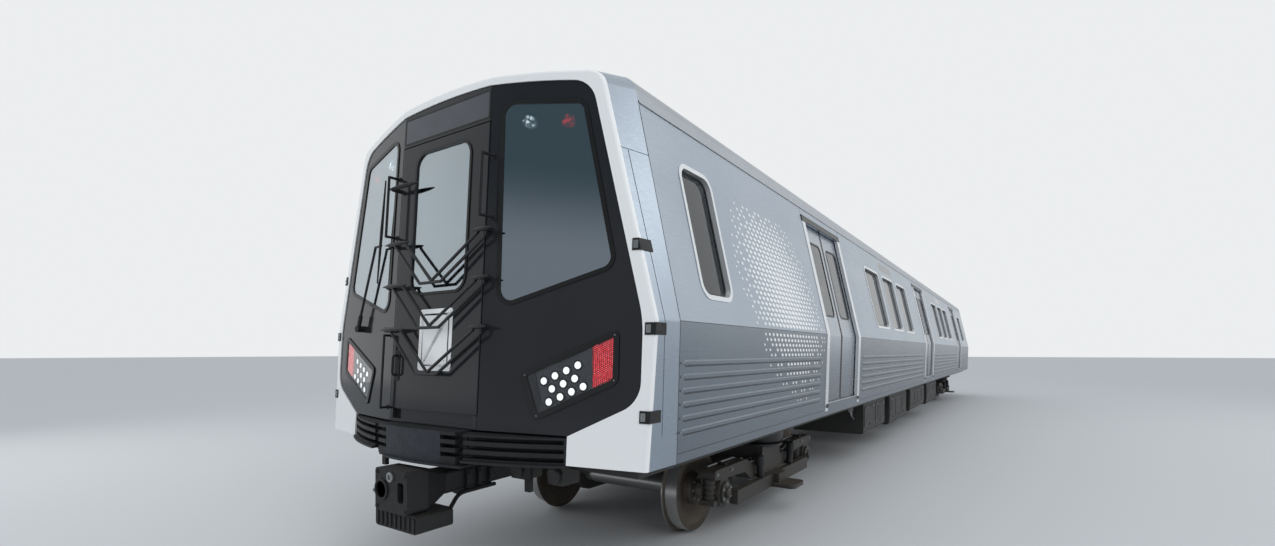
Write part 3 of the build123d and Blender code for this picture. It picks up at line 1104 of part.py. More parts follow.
with BuildPart() as bogie_frame:
    add(both_sides(left_frame.part))
    for end in (1, -1):
        beam_x = end * TRANSOM_X
        add(across_car(beam_x, 0, FRAME_DIP_Z - TRANSOM_RADIUS, TRANSOM_RADIUS, 2 * FRAME_INNER_Y + 20))
        with Locations((beam_x, 0, FRAME_DIP_Z - TRANSOM_RADIUS / 2)):
            Box(TRANSOM_WEB, 2 * FRAME_INNER_Y, TRANSOM_RADIUS)
    with Locations((0, 0, (FRAME_DIP_Z + BOGIE_BOLSTER_TOP_Z) / 2)):
        Box(BOGIE_BOLSTER_LENGTH, 2 * FRAME_OUTER_Y, BOGIE_BOLSTER_TOP_Z - FRAME_DIP_Z)
    with Locations((0, 0, FRAME_TOP_Z)):
        Cylinder(PIVOT_RADIUS + FIT, 400, mode=Mode.SUBTRACT)

# Air springs: bellows between two plates
SPRING_PLATE, SPRING_LIP = 20.0, 10.0
spring_height = CROSSBEAM_Z - FIT - BOGIE_BOLSTER_TOP_Z
bellows_low = (SPRING_RADIUS - SPRING_NECK, SPRING_PLATE)
bellows_high = (SPRING_RADIUS - SPRING_NECK, spring_height - SPRING_PLATE)
lip = SPRING_RADIUS - SPRING_LIP
with BuildPart() as left_spring:
    with BuildSketch(Plane((0, SPRING_Y, BOGIE_BOLSTER_TOP_Z), x_dir=(1, 0, 0), z_dir=(0, -1, 0))):
        with BuildLine():
            Polyline((0, 0), (lip, 0), (lip, SPRING_PLATE), bellows_low)
            ThreePointArc(bellows_low, (SPRING_RADIUS, spring_height / 2), bellows_high)
            Polyline(bellows_high, (lip, spring_height - SPRING_PLATE), (lip, spring_height), (0, spring_height), (0, 0))
        make_face()
    revolve(axis=Axis((0, SPRING_Y, 0), (0, 0, 1)))
with BuildPart() as air_springs:
    add(both_sides(left_spring.part))

# Traction motors, each with a shaft into the gear case around its axle
with BuildPart() as fore_motor:
    motor_y = MOTOR_LENGTH / 2 - MOTOR_OVERLAP
    add(across_car(MOTOR_X, motor_y, AXLE_Z, MOTOR_RADIUS, MOTOR_LENGTH))
    fillet(fore_motor.edges().filter_by(GeomType.CIRCLE), MOTOR_EDGE)
    add(across_car(MOTOR_X, GEAR_Y / 2, AXLE_Z, SHAFT_RADIUS, -GEAR_Y))
    with BuildSketch(Plane((0, GEAR_Y + GEAR_WIDTH / 2, AXLE_Z), x_dir=(1, 0, 0), z_dir=(0, -1, 0))):
        with Locations(((MOTOR_X + AXLE_OFFSET) / 2, 0)):
            SlotCenterToCenter(AXLE_OFFSET - MOTOR_X, 2 * GEAR_REACH)
    extrude(amount=GEAR_WIDTH)
    lug_start = TRANSOM_X + TRANSOM_RADIUS
    with Locations(((lug_start + MOTOR_X) / 2, motor_y, AXLE_Z + 60)):
        Box(MOTOR_X - lug_start, 300, 60)
    add(across_car(AXLE_OFFSET, GEAR_Y, AXLE_Z, AXLE_RADIUS + FIT, GEAR_WIDTH + 4), mode=Mode.SUBTRACT)
with BuildPart() as bogie_motors:
    add([fore_motor.part, Rot(0, 0, 180) * fore_motor.part])


BOGIE_FORMS = (("bogie_frame", bogie_frame), ("air_springs", air_springs), ("bogie_motors", bogie_motors))
for bogie_name, end in (("front", 1), ("rear", -1)):
    for form_name, form in BOGIE_FORMS:
        with BuildPart() as placed:
            add(Pos(end * BOGIE_X, 0, 0) * form.part)
        write(placed, f"{form_name}_{bogie_name}")
    for axle_name, way in (("fore", 1), ("aft", -1)):
        write(wheelset_at(end * BOGIE_X + way * AXLE_OFFSET), f"wheelset_{bogie_name}_{axle_name}")

# Couplers: a tapered shank on the pin, a flared head with two pockets, and an electric box under it
SHANK_HALF, SHANK_HEIGHT, SHANK_ROUNDING = 75.0, 130.0, 25.0
HEAD_LENGTH, HEAD_HALF, HEAD_HEIGHT, HEAD_ROUNDING = 330.0, 160.0, 260.0, 22.0
HEAD_PLATE = 150.0
EYE_RADIUS = 105.0
HOOK_Y, HOOK_RADIUS, HOOK_DEPTH = -92.0, 50.0, 90.0
GUIDE_Y, GUIDE_SIZE, GUIDE_POCKET = 96.0, (58.0, 120.0), 70.0
ELECTRIC_HALF, ELECTRIC_HEIGHT, ELECTRIC_LENGTH, ELECTRIC_SET_BACK = 208.0, 110.0, 264.0, 33.0
head_back_x = COUPLER_FACE_X - HEAD_LENGTH
plate_x = COUPLER_FACE_X - HEAD_PLATE
HEAD_SECTIONS = (  # station, width, height, rounding
    (COUPLER_PIVOT_X, 2 * SHANK_HALF, SHANK_HEIGHT, SHANK_ROUNDING),
    (head_back_x, 2 * SHANK_HALF + 30, SHANK_HEIGHT + 20, SHANK_ROUNDING),
    (plate_x, 2 * HEAD_HALF, HEAD_HEIGHT, HEAD_ROUNDING),
    (COUPLER_FACE_X, 2 * HEAD_HALF, HEAD_HEIGHT, HEAD_ROUNDING),
)
with BuildPart() as coupler_form:
    for near, far in zip(HEAD_SECTIONS, HEAD_SECTIONS[1:]):
        for station, width, height, rounding in (near, far):
            with BuildSketch(Plane.YZ.offset(station)):
                with Locations((0, COUPLER_Z)):
                    RectangleRounded(width, height, rounding)
        loft(ruled=True)
    with Locations((COUPLER_PIVOT_X, 0, COUPLER_Z)):
        Cylinder(EYE_RADIUS, SHANK_HEIGHT)
        Cylinder(COUPLER_PIN_RADIUS + FIT, 2 * SHANK_HEIGHT, mode=Mode.SUBTRACT)
    with BuildSketch(Plane.YZ.offset(COUPLER_FACE_X)):
        with Locations((HOOK_Y, COUPLER_Z)):
            Circle(HOOK_RADIUS)
    extrude(amount=-HOOK_DEPTH, taper=12, mode=Mode.SUBTRACT)
    with BuildSketch(Plane.YZ.offset(COUPLER_FACE_X)):
        with Locations((GUIDE_Y, COUPLER_Z)):
            RectangleRounded(*GUIDE_SIZE, 14)
    extrude(amount=-GUIDE_POCKET, mode=Mode.SUBTRACT)
    electric_x = COUPLER_FACE_X - ELECTRIC_SET_BACK - ELECTRIC_LENGTH
    with BuildSketch(Plane.YZ.offset(electric_x)):
        with Locations((0, COUPLER_Z - (HEAD_HEIGHT + ELECTRIC_HEIGHT) / 2)):
            RectangleRounded(2 * ELECTRIC_HALF, ELECTRIC_HEIGHT, HEAD_ROUNDING)
    extrude(amount=ELECTRIC_LENGTH)
for coupler_name, turn in (("front", 0), ("rear", 180)):
    with BuildPart() as coupler:
        add(Rot(0, 0, turn) * coupler_form.part)
    write(coupler, f"coupler_{coupler_name}")

def bar_between(start, end, radius):
    """A round bar between two points."""
    line = Vector(*end) - Vector(*start)
    place = Plane(Vector(*start), z_dir=line)
    return place * Cylinder(radius, line.length, align=(Align.CENTER, Align.CENTER, Align.MIN), mode=Mode.PRIVATE)


def face_point(y, z, stand_off):
    """A point ahead of the mask by a stand-off."""
    return (face_x(y, z) - MASK_RECESS + stand_off, y, z)


def spindle(y_ends, z, stand_off, radius):
    """A bar across the car that is thick in the middle and thin at its ends."""
    middle_y, half = (y_ends[0] + y_ends[1]) / 2, (y_ends[1] - y_ends[0]) / 2
    centre_x = face_x(max(0, abs(middle_y) - half), z) - MASK_RECESS + stand_off
    with BuildSketch(Plane((centre_x, middle_y, z), x_dir=(0, 1, 0), z_dir=(1, 0, 0)), mode=Mode.PRIVATE) as lens:
        with BuildLine():
            ThreePointArc((-half, 4), (0, radius), (half, 4))
            Polyline((half, 4), (half, 0), (-half, 0), (-half, 4))
        make_face()
    return revolve(lens.sketch, axis=Axis((centre_x, middle_y, z), (0, 1, 0)), mode=Mode.PRIVATE)


# Safety straps across the cab end door: in each of three rows two pairs of bars meet in a V
STRAP_RADIUS, STRAP_STAND_OFF = 10.0, 55.0
STRAP_LEVELS = (RAIL_Z + 2245.0, RAIL_Z + 1955.0, RAIL_Z + 1660.0)
STRAP_BARS = (  # head across the car and below the row, foot across the car and below the row
    (433.0, 0.0, 16.0, 262.0),
    (485.0, 27.0, 110.0, 273.0),
    (-275.0, 0.0, 16.0, 262.0),
    (-412.0, -20.0, -105.0, 273.0),
)
STRAP_LINK = (-105.0, 110.0, 273.0)
STRAP_SPINDLES = ((389.0, 540.0), (-510.0, -250.0))
SPINDLE_RISE, SPINDLE_RADIUS, STRAP_FOOT_Y, STRAP_FOOT_RADIUS = 18.0, 15.0, 478.0, 17.0
with BuildPart() as safety_straps:
    for level in STRAP_LEVELS:
        for head_y, head_drop, foot_y, foot_drop in STRAP_BARS:
            head = face_point(head_y, level - head_drop, STRAP_STAND_OFF)
            foot = face_point(foot_y, level - foot_drop, STRAP_STAND_OFF)
            add(bar_between(head, foot, STRAP_RADIUS))
            add(bar_between(head, face_point(head_y, level + SPINDLE_RISE, STRAP_STAND_OFF), STRAP_RADIUS))
        link_z = level - STRAP_LINK[2]
        link_ends = [face_point(y, link_z, STRAP_STAND_OFF) for y in STRAP_LINK[:2]]
        add(bar_between(*link_ends, STRAP_RADIUS))
        for y_ends in STRAP_SPINDLES:
            add(spindle(y_ends, level + SPINDLE_RISE, STRAP_STAND_OFF, SPINDLE_RADIUS))
        for side in (1, -1):
            foot = face_point(side * STRAP_FOOT_Y, level + SPINDLE_RISE, -10)
            add(bar_between(foot, face_point(side * STRAP_FOOT_Y, level + SPINDLE_RISE, STRAP_STAND_OFF), STRAP_FOOT_RADIUS))
    add(face_slab(MASK_RECESS, 200), mode=Mode.SUBTRACT)
write(safety_straps, "safety_straps")

# Grab rails beside the end door, each a bar on two feet, and a spindle handle at the upper right
RAIL_Y = 470.0
GRAB_RAILS = (  # side of the car, foot height, head height, bar radius, stand-off
    (1, RAIL_Z + 2345.0, RAIL_Z + 2720.0, 9.0, 90.0),
    (-1, RAIL_Z + 2320.0, RAIL_Z + 2735.0, 9.0, 90.0),
    (-1, RAIL_Z + 1148.0, RAIL_Z + 1640.0, 8.0, 60.0),
)
HANDLE_ENDS, HANDLE_Z, HANDLE_STAND_OFF = (-505.0, -170.0), RAIL_Z + 2655.0, 60.0
with BuildPart() as grab_rails:
    for side, low, high, radius, stand_off in GRAB_RAILS:
        heads = [face_point(side * RAIL_Y, z, stand_off) for z in (low, high)]
        add(bar_between(*heads, radius))
        for head, z in zip(heads, (low, high)):
            add(bar_between(face_point(side * RAIL_Y, z, -10), head, radius))
            add(bar_between(face_point(side * RAIL_Y, z, -10), face_point(side * RAIL_Y, z, 6), 2 * radius))
            with Locations(head):
                Sphere(radius)
    add(spindle(HANDLE_ENDS, HANDLE_Z, HANDLE_STAND_OFF, SPINDLE_RADIUS))
    handle_foot = [face_point(-RAIL_Y, HANDLE_Z, stand_off) for stand_off in (-10, HANDLE_STAND_OFF)]
    add(bar_between(*handle_foot, SPINDLE_RADIUS))
    add(face_slab(MASK_RECESS, 200), mode=Mode.SUBTRACT)
write(grab_rails, "grab_rails")

# Wiper on the right-hand windscreen: motor stub, tapered arm bent at its elbow, and blade
WIPER_PIVOT = (1010.0, RAIL_Z + 1700.0)
WIPER_KNUCKLE = (975.0, RAIL_Z + 1800.0)
WIPER_ELBOW = (760.0, RAIL_Z + 2290.0)
WIPER_CLIP = (655.0, RAIL_Z + 2290.0)
WIPER_BLADE = ((640.0, RAIL_Z + 2760.0), (690.0, RAIL_Z + 2020.0))
WIPER_STAND_OFF = 42.0


def wiper_point(place, stand_off=WIPER_STAND_OFF):
    """A point ahead of the right half of the mask."""
    return face_point(-place[0], place[1], stand_off)


with BuildPart() as wiper:
    add(bar_between(wiper_point(WIPER_PIVOT, -20), wiper_point(WIPER_PIVOT, WIPER_STAND_OFF + 16), 24))
    add(bar_between(wiper_point(WIPER_PIVOT), wiper_point(WIPER_KNUCKLE), 15))
    add(bar_between(wiper_point(WIPER_KNUCKLE), wiper_point(WIPER_ELBOW), 9))
    add(bar_between(wiper_point(WIPER_ELBOW), wiper_point(WIPER_CLIP), 8))
    with Locations(wiper_point(WIPER_ELBOW)):
        Sphere(10)
    blade_middle = [(a + b) / 2 for a, b in zip(*WIPER_BLADE)]
    for blade_end in WIPER_BLADE:
        line = Vector(*wiper_point(blade_end)) - Vector(*wiper_point(blade_middle))
        half_blade = Cone(11, 5, line.length, align=(Align.CENTER, Align.CENTER, Align.MIN), mode=Mode.PRIVATE)
        add(Plane(Vector(*wiper_point(blade_middle)), z_dir=line) * half_blade)
    add(face_slab(MASK_RECESS, 200), mode=Mode.SUBTRACT)
write(wiper, "wiper")

# Dark step brackets bent around the nose corners
BRACKET_LEVELS = (RAIL_Z + 2105.0, RAIL_Z + 1650.0, RAIL_Z + 1185.0)
BRACKET_SIDE, BRACKET_FRONT, BRACKET_HEIGHT, BRACKET_PROUD = 100.0, 48.0, 66.0, 4.0
bracket_skin = (nose_solid(-BRACKET_PROUD) & face_slab(-BRACKET_PROUD, 900)) - (nose & face_slab(0, 900))
with BuildPart() as corner_brackets:
    for level in BRACKET_LEVELS:
        corner_half = side_half(level) - NOSE_INSET
        near = (face_x(corner_half, level) - BRACKET_SIDE, corner_half - BRACKET_FRONT, level - BRACKET_HEIGHT / 2)
        region = block(near, (NOSE_X, BELT_HALF + 50, level + BRACKET_HEIGHT / 2))
        add(both_sides(bracket_skin & region))
write(corner_brackets, "corner_brackets")

# Cab: bulkhead with a doorway, driver's desk and seat
BULKHEAD_X, BULKHEAD_THICK = CORNER_X - 1500.0, 40.0
BULKHEAD_DOOR_Y, BULKHEAD_DOOR_HALF, BULKHEAD_DOOR_HIGH = 450.0, 330.0, 1950.0
INSIDE_GAP = 5.0
bulkhead_section = body_section(BULKHEAD_X, thinner(BODY_BENDS, WALL + INSIDE_GAP), ROOF_TOP_Z - ROOF_THICK - 40)
with BuildPart() as cab_bulkhead:
    add(solid_of(bulkhead_section, BULKHEAD_THICK))
    add(
        block(
            (BULKHEAD_X - 10, BULKHEAD_DOOR_Y - BULKHEAD_DOOR_HALF, 0),
            (BULKHEAD_X + BULKHEAD_THICK + 10, BULKHEAD_DOOR_Y + BULKHEAD_DOOR_HALF, FLOOR_Z + BULKHEAD_DOOR_HIGH),
        ),
        mode=Mode.SUBTRACT,
    )
    add(block((BULKHEAD_X - 10, -BELT_HALF, 0), (BULKHEAD_X + BULKHEAD_THICK + 10, BELT_HALF, FLOOR_Z)), mode=Mode.SUBTRACT)
write(cab_bulkhead, "cab_bulkhead")

DESK_BACK_X, DESK_HEIGHT, DESK_FOOT_HEIGHT = CORNER_X - 650.0, 860.0, 560.0
DESK_SIDES = (215.0 - BELT_HALF, -520.0)
DESK_ROUNDING = 18.0
DESK_SHAPE = (  # station along the car, height above the floor
    (DESK_BACK_X + 220, 0),
    (DESK_BACK_X + 140, DESK_FOOT_HEIGHT),
    (DESK_BACK_X, DESK_HEIGHT - 120),
    (DESK_BACK_X + 40, DESK_HEIGHT - 60),
    (DESK_BACK_X + 300, DESK_HEIGHT),
    (DESK_BACK_X + 360, DESK_HEIGHT + 160),
    (DESK_BACK_X + 420, DESK_HEIGHT + 160),
    (DESK_BACK_X + 420, 0),
)
with BuildPart() as cab_desk:
    with BuildSketch(Plane((0, DESK_SIDES[1], FLOOR_Z), x_dir=(1, 0, 0), z_dir=(0, -1, 0))):
        with BuildLine():
            FilletPolyline(*DESK_SHAPE, radius=DESK_ROUNDING, close=True)
        make_face()
    extrude(amount=DESK_SIDES[1] - DESK_SIDES[0])
write(cab_desk, "cab_desk")

DRIVER_X, DRIVER_Y = CORNER_X - 1050.0, -900.0
CUSHION_SIZE, CUSHION_THICK, CUSHION_TOP = (470.0, 480.0, 60.0), 110.0, 505.0
BACKREST_SIZE, BACKREST_THICK, BACKREST_HEIGHT = (460.0, 640.0, 75.0), 100.0, 790.0
PEDESTAL_RADIUS, PEDESTAL_FOOT, PEDESTAL_FOOT_THICK = 60.0, 190.0, 20.0
with BuildPart() as driver_seat:
    with BuildSketch(Plane.XY.offset(FLOOR_Z + CUSHION_TOP)):
        with Locations((DRIVER_X, DRIVER_Y)):
            RectangleRounded(*CUSHION_SIZE)
    extrude(amount=-CUSHION_THICK)
    with BuildSketch(Plane.YZ.offset(DRIVER_X - CUSHION_SIZE[0] / 2 + BACKREST_THICK / 2)):
        with Locations((DRIVER_Y, FLOOR_Z + BACKREST_HEIGHT)):
            RectangleRounded(*BACKREST_SIZE)
    extrude(amount=-BACKREST_THICK)
    with Locations((DRIVER_X, DRIVER_Y, FLOOR_Z)):
        pedestal_height = CUSHION_TOP - CUSHION_THICK + 10
        Cylinder(PEDESTAL_RADIUS, pedestal_height, align=(Align.CENTER, Align.CENTER, Align.MIN))
        Cylinder(PEDESTAL_FOOT, PEDESTAL_FOOT_THICK, align=(Align.CENTER, Align.CENTER, Align.MIN))
write(driver_seat, "driver_seat")

# Passenger seats along the walls, in rows between the doors
SEAT_PITCH, SEAT_WIDTH, SEAT_DEPTH, SEAT_HEIGHT, SEAT_BACK = 560.0, 540.0, 440.0, 440.0, 870.0
SEAT_THICK = 35.0
SEAT_ROUNDING = 9.0
SEAT_ROWS = ((bay_middles[0], 8), (bay_middles[1], 8), (REAR_WINDOW_X - 150, 3))  # middle along, count
seat_wall = side_half(FLOOR_Z + 430) - WALL - 10
SEAT_SHAPE = (  # distance from the wall, height above the floor
    (0, SEAT_BACK),
    (0, SEAT_HEIGHT - 90),
    (40, SEAT_HEIGHT - 90),
    (80, 0),
    (150, 0),
    (170, SEAT_HEIGHT - 90),
    (SEAT_DEPTH, SEAT_HEIGHT - SEAT_THICK),
    (SEAT_DEPTH, SEAT_HEIGHT),
    (110, SEAT_HEIGHT - 20),
    (SEAT_THICK + 5, SEAT_BACK),
)
seat_lean = 0.16
seat_points = [(seat_wall - d - max(0, h - SEAT_HEIGHT) * seat_lean, FLOOR_Z + h) for d, h in SEAT_SHAPE]
with BuildPart(mode=Mode.PRIVATE) as seat:
    with BuildSketch(Plane.YZ):
        with BuildLine():
            FilletPolyline(*seat_points, radius=SEAT_ROUNDING, close=True)
        make_face()
    extrude(amount=SEAT_WIDTH)
seat_pair = both_sides(seat.part)
with BuildPart() as seats:
    for middle, count in SEAT_ROWS:
        starts = [middle + (place - count / 2) * SEAT_PITCH for place in range(count)]
        add([Pos(start, 0, 0) * form for start in starts for form in seat_pair])
write(seats, "seats")

# Stanchions from floor to ceiling beside the doorways
POLE_RADIUS, POLE_Y = 17.0, 620.0
CEILING_Z = ROOF_TOP_Z - ROOF_THICK
with BuildPart() as poles:
    for centre in DOOR_CENTRES:
        for x in (centre - 900, centre + 900):
            for side in (1, -1):
                with Locations((x, side * POLE_Y, FLOOR_Z)):
                    Cylinder(POLE_RADIUS, CEILING_Z - FLOOR_Z, align=(Align.CENTER, Align.CENTER, Align.MIN))
    add(roof_form, mode=Mode.INTERSECT)
    add(roof.part, mode=Mode.SUBTRACT)
    for opening in hvac_blocks:
        add(opening, mode=Mode.SUBTRACT)
write(poles, "poles")
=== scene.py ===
"""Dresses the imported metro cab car: finishes, fittings, driver's seat, stage and camera.

Laid out as a Blender add-on and run as a script. Lengths are in metres in the part's own frame:
+X to the cab end, +Y to the car's left side, +Z up, and the wheel flanges touch the floor at zero.
"""

import json
import math

import bmesh
import bpy
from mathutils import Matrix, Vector


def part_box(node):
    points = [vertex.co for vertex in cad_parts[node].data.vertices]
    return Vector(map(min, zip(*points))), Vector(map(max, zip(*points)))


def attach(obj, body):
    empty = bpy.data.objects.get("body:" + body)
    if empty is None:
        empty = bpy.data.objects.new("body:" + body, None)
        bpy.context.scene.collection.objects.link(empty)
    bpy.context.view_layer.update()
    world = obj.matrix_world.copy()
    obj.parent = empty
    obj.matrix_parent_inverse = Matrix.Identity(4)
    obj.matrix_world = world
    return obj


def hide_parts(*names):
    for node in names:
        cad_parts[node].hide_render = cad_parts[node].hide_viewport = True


bl_info = {
    "name": "Metro cab car",
    "version": (1, 0, 0),
    "blender": (4, 5, 0),
    "location": "3D View > Sidebar > Metro car",
    "description": "Finishes and fittings for a stainless-steel metro cab car, with its stage and camera",
    "category": "Object",
}

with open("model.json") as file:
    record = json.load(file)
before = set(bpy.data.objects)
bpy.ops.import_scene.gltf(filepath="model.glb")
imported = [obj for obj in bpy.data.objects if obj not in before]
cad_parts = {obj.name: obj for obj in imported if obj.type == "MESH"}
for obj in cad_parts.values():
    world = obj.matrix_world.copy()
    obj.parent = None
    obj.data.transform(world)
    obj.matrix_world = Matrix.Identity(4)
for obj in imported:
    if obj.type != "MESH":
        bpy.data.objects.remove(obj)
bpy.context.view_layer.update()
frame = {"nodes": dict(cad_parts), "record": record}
NODES = frame["nodes"]

MM = 0.001
SIDES = (1, -1)
SIDE_NAMES = {"left": 1, "right": -1}
END_NAMES = {"front": 1, "rear": -1}
THIN = (-MM, 0.6 * MM)  # stand-offs of a bead of sealant or a cut film, whose back is sunk a millimetre

# Heights and half widths of the body, as in the part's source
RAIL_Z = 0.028
FLOOR_Z = RAIL_Z + 1.016
SILL_HALF, SILL_Z = 1.520, RAIL_Z + 0.900
BELT_HALF, BELT_Z = 1.545, RAIL_Z + 1.700
EAVE_HALF, EAVE_Z = 1.250, RAIL_Z + 3.060
GUTTER_Z = RAIL_Z + 2.970
ROOF_TOP_Z, ROOF_RADIUS = RAIL_Z + 3.306, 4.794
CORNER_X, REAR_X = 10.900, -11.100
WALL_FORE_X = CORNER_X - 0.250
REAR_FACE_X = REAR_X - 0.060

# Cab face
FACE_X, FACE_REF_Z = CORNER_X + 0.250, RAIL_Z + 1.220
FACE_LEAN, FACE_SWEEP, FACE_FLAT_HALF = 0.0625, 0.205, 0.430
MASK_RECESS = 0.008
MARKER_LOW_Z = 2.793  # a height under the marker lamps, which are behind the tops of the windscreens
NOSE_HALF, NOSE_TIP_X, NOSE_RADIUS = 0.272, CORNER_X + 0.400, 2.138

# Doors and windows
DOOR_CENTRES = {"front": 6.950, "middle": -0.250, "rear": -7.450}
DOOR_TOP_Z, JAMB_HALF, THRESHOLD_HALF = RAIL_Z + 2.850, 0.724, 0.617
LEAF_GLASS = (0.400, RAIL_Z + 1.905, RAIL_Z + 2.660, 0.060)  # width, low, high, rounding
LEAF_GLASS_OFFSET = 0.319
LEAF_WAYS = {"fore": 1, "aft": -1}
END_GLASS = (0.268, 1.948, 2.893)  # half width, low, high
WINDOW_LOW_Z, WINDOW_HIGH_Z, WINDOW_RADIUS = RAIL_Z + 1.880, RAIL_Z + 2.700, 0.090
BAY_MIDDLES, WINDOW_PITCH = (3.350, -3.850), 1.220
WINDOW_CENTRES = [middle + step * WINDOW_PITCH for middle in BAY_MIDDLES for step in (-1, 0, 1)] + [-9.450]
SIDE_WINDOWS = [(CORNER_X - 0.835, 0.430, RAIL_Z + 1.875, RAIL_Z + 2.712)]  # centre, width, low, high
SIDE_WINDOWS += [(centre, 0.940, WINDOW_LOW_Z, WINDOW_HIGH_Z) for centre in WINDOW_CENTRES]

# Raised flutes of the lower side panels
FLUTE_TOP_Z, FLUTE_PITCH, FLUTE_COUNT = RAIL_Z + 1.464, 0.0784, 6
FLUTE_LEVELS = [FLUTE_TOP_Z - row * FLUTE_PITCH for row in range(FLUTE_COUNT)]
FLUTE_HALF_HEIGHT, FLUTE_PROUD = 0.017, 0.007
FLUTE_BAYS = ((10.600, 7.850), (6.050, 0.650), (-1.150, -6.550), (-8.350, -11.050))  # fore end, aft end

# White film ovals ahead of the front door: the middle of their field, its half length and half height, and
# how far a column of them leans for each metre of height
FILM_MIDDLE, FILM_HALF_LENGTH, FILM_HALF_HEIGHT, FILM_LEAN = (8.700, 1.990), 0.92, 0.86, 0.35
OVAL_LOW_TALL = 0.025  # the tallest below the belt, where they lie between the flutes

# Lamp clusters on the left half of the cab face
CLUSTER = ((0.745, 1.428), (1.318, 1.664), (1.322, 1.394), (0.840, 1.176))
TAIL_LAMP = ((1.170, 1.588), (1.298, 1.638), (1.301, 1.406), (1.180, 1.353))
CELL_START, CELL_PITCH, CELL_COLUMNS, CELL_ROWS = (1.176, 1.350), 0.0115, 12, 26

# Headlamps of the left cluster: the first one, the step along a row, the step between rows, and each row's
# count and shift along it
LAMP_START, LAMP_STEP, LAMP_ROW_STEP = (0.881, 1.390), (0.0693, 0.0305), (0.0185, -0.0585)
LAMP_ROWS = ((4, 0.0), (3, 0.5), (4, 0.0))
LAMP_RADIUS, BEZEL_WIDTH = 0.0205, 0.0075
LAMP_SHADE = ((0.757, 1.431), (0.818, 1.458), (0.884, 1.213), (0.846, 1.197))

# Running gear
BOGIE_X = {"front": 7.925, "rear": -7.925}
AXLE_WAYS = {"fore": 1, "aft": -1}
AXLE_OFFSET, AXLE_Z = 1.105, RAIL_Z + 0.3555
FRAME_OUTER_Y, WHEEL_OUTER_Y = 1.075, 0.828
COUPLER_Z, COUPLER_FACE_X = RAIL_Z + 0.690, 11.430

# Boxes under the floor: middle along the car, length, outer edge across it, underside, lids
EQUIPMENT = (
    (4.300, 1.500, 1.330, 0.420, 2),
    (4.300, 1.500, -1.330, 0.400, 3),
    (2.300, 1.700, 1.330, 0.360, 3),
    (2.400, 1.900, -1.330, 0.360, 2),
    (0.000, 2.000, 1.330, 0.400, 4),
    (-0.150, 2.100, -1.330, 0.420, 3),
    (-2.300, 1.800, 1.330, 0.360, 3),
    (-2.700, 1.500, -1.330, 0.400, 2),
)
BOX_TOP_Z = 0.860

# Below the floor: pipes along the middle (place across, height, radius), air tanks, and conduits beside boxes
TRAIN_PIPES = ((0.120, 0.815, 0.024), (-0.050, 0.820, 0.019), (-0.180, 0.828, 0.013))
PIPE_END_X, CLIP_START_X, CLIP_PITCH, CLIP_COUNT = 6.9, -6.5, 0.65, 21
TANK_X, TANK_HALF_LENGTH, TANK_Z, TANK_PLACES = -4.550, 0.700, 0.640, (0.800, 0.380, -0.760)
CONDUITS = ((5.2, 1), (1.2, 1), (-1.2, 1), (-3.4, 1), (3.4, -1), (1.1, -1), (-1.6, -1))  # station, side

# Roof
HVAC_MIDDLES, HVAC_HALF_LENGTH, HVAC_HALF_WIDTH = (5.200, -5.200), 1.33, 0.782
ROOF_JOINTS = (9.2, 7.6, 2.6, 0.9, -0.9, -2.6, -7.6, -9.2)
STRAP_STEP = 0.1

# Soft boxes of the studio: place, size, power in watts, what it is aimed at, and whether surfaces mirror it
SOFTBOXES = {
    "key_softbox": ((15.0, 8.0, 9.0), 8.0, 330.0, (10.0, 0.0, 1.8), False),
    "side_softbox": ((0.0, 14.0, 9.0), 12.0, 420.0, (0.0, 0.0, 1.5), True),
    "fill_softbox": ((15.0, -9.0, 6.0), 8.0, 220.0, (10.0, 0.0, 1.5), False),
}
FLAG_DIRECTION = (0.94, 0.10, 0.25)
CAMERA_SHIFT = (0.0196, 0.0619)  # how far the picture's middle lies off the lens's axis, in picture widths


# The option that makes a mix node mix colours
RGBA = {"data_type": "RGBA"}


def linear(hex_colour):
    """The linear red, green, blue and alpha of an sRGB hex colour."""
    values = [int(hex_colour[i : i + 2], 16) / 255 for i in (1, 3, 5)]
    return tuple(v / 12.92 if v <= 0.04045 else ((v + 0.055) / 1.055) ** 2.4 for v in values) + (1.0,)


def add_node(tree, kind, settings=None, inputs=None, output=0):
    """Adds a node, sets its options, fills or links its inputs, and returns one of its outputs."""
    made = tree.nodes.new(kind)
    for name, value in (settings or {}).items():
        setattr(made, name, value)
    for socket, value in (inputs or {}).items():
        if isinstance(value, bpy.types.NodeSocket):
            tree.links.new(value, made.inputs[socket])
        else:
            made.inputs[socket].default_value = value
    return made.outputs[output] if made.outputs else made


def open_material(name):
    """A new empty material, its node tree, and the place being shaded in metres in the part's frame."""
    material = bpy.data.materials.new(name)
    material.use_nodes = True
    material.node_tree.nodes.clear()
    return material, material.node_tree, add_node(material.node_tree, "ShaderNodeTexCoord", output="Object")


def close_material(material, tree, sockets):
    """Ends a material with the surface that these sockets describe."""
    surface = add_node(tree, "ShaderNodeBsdfPrincipled", inputs=sockets)
    add_node(tree, "ShaderNodeOutputMaterial", inputs={"Surface": surface})
    return material


def mottled(tree, place, size, first, second, detail=2.0):
    """A colour that drifts between two tones, in patches about so many metres across."""
    patches = {"Vector": place, "Scale": 1 / size, "Detail": detail}
    share = add_node(tree, "ShaderNodeTexNoise", inputs=patches)
    return add_node(tree, "ShaderNodeMix", RGBA, {0: share, 6: linear(first), 7: linear(second)}, output=2)


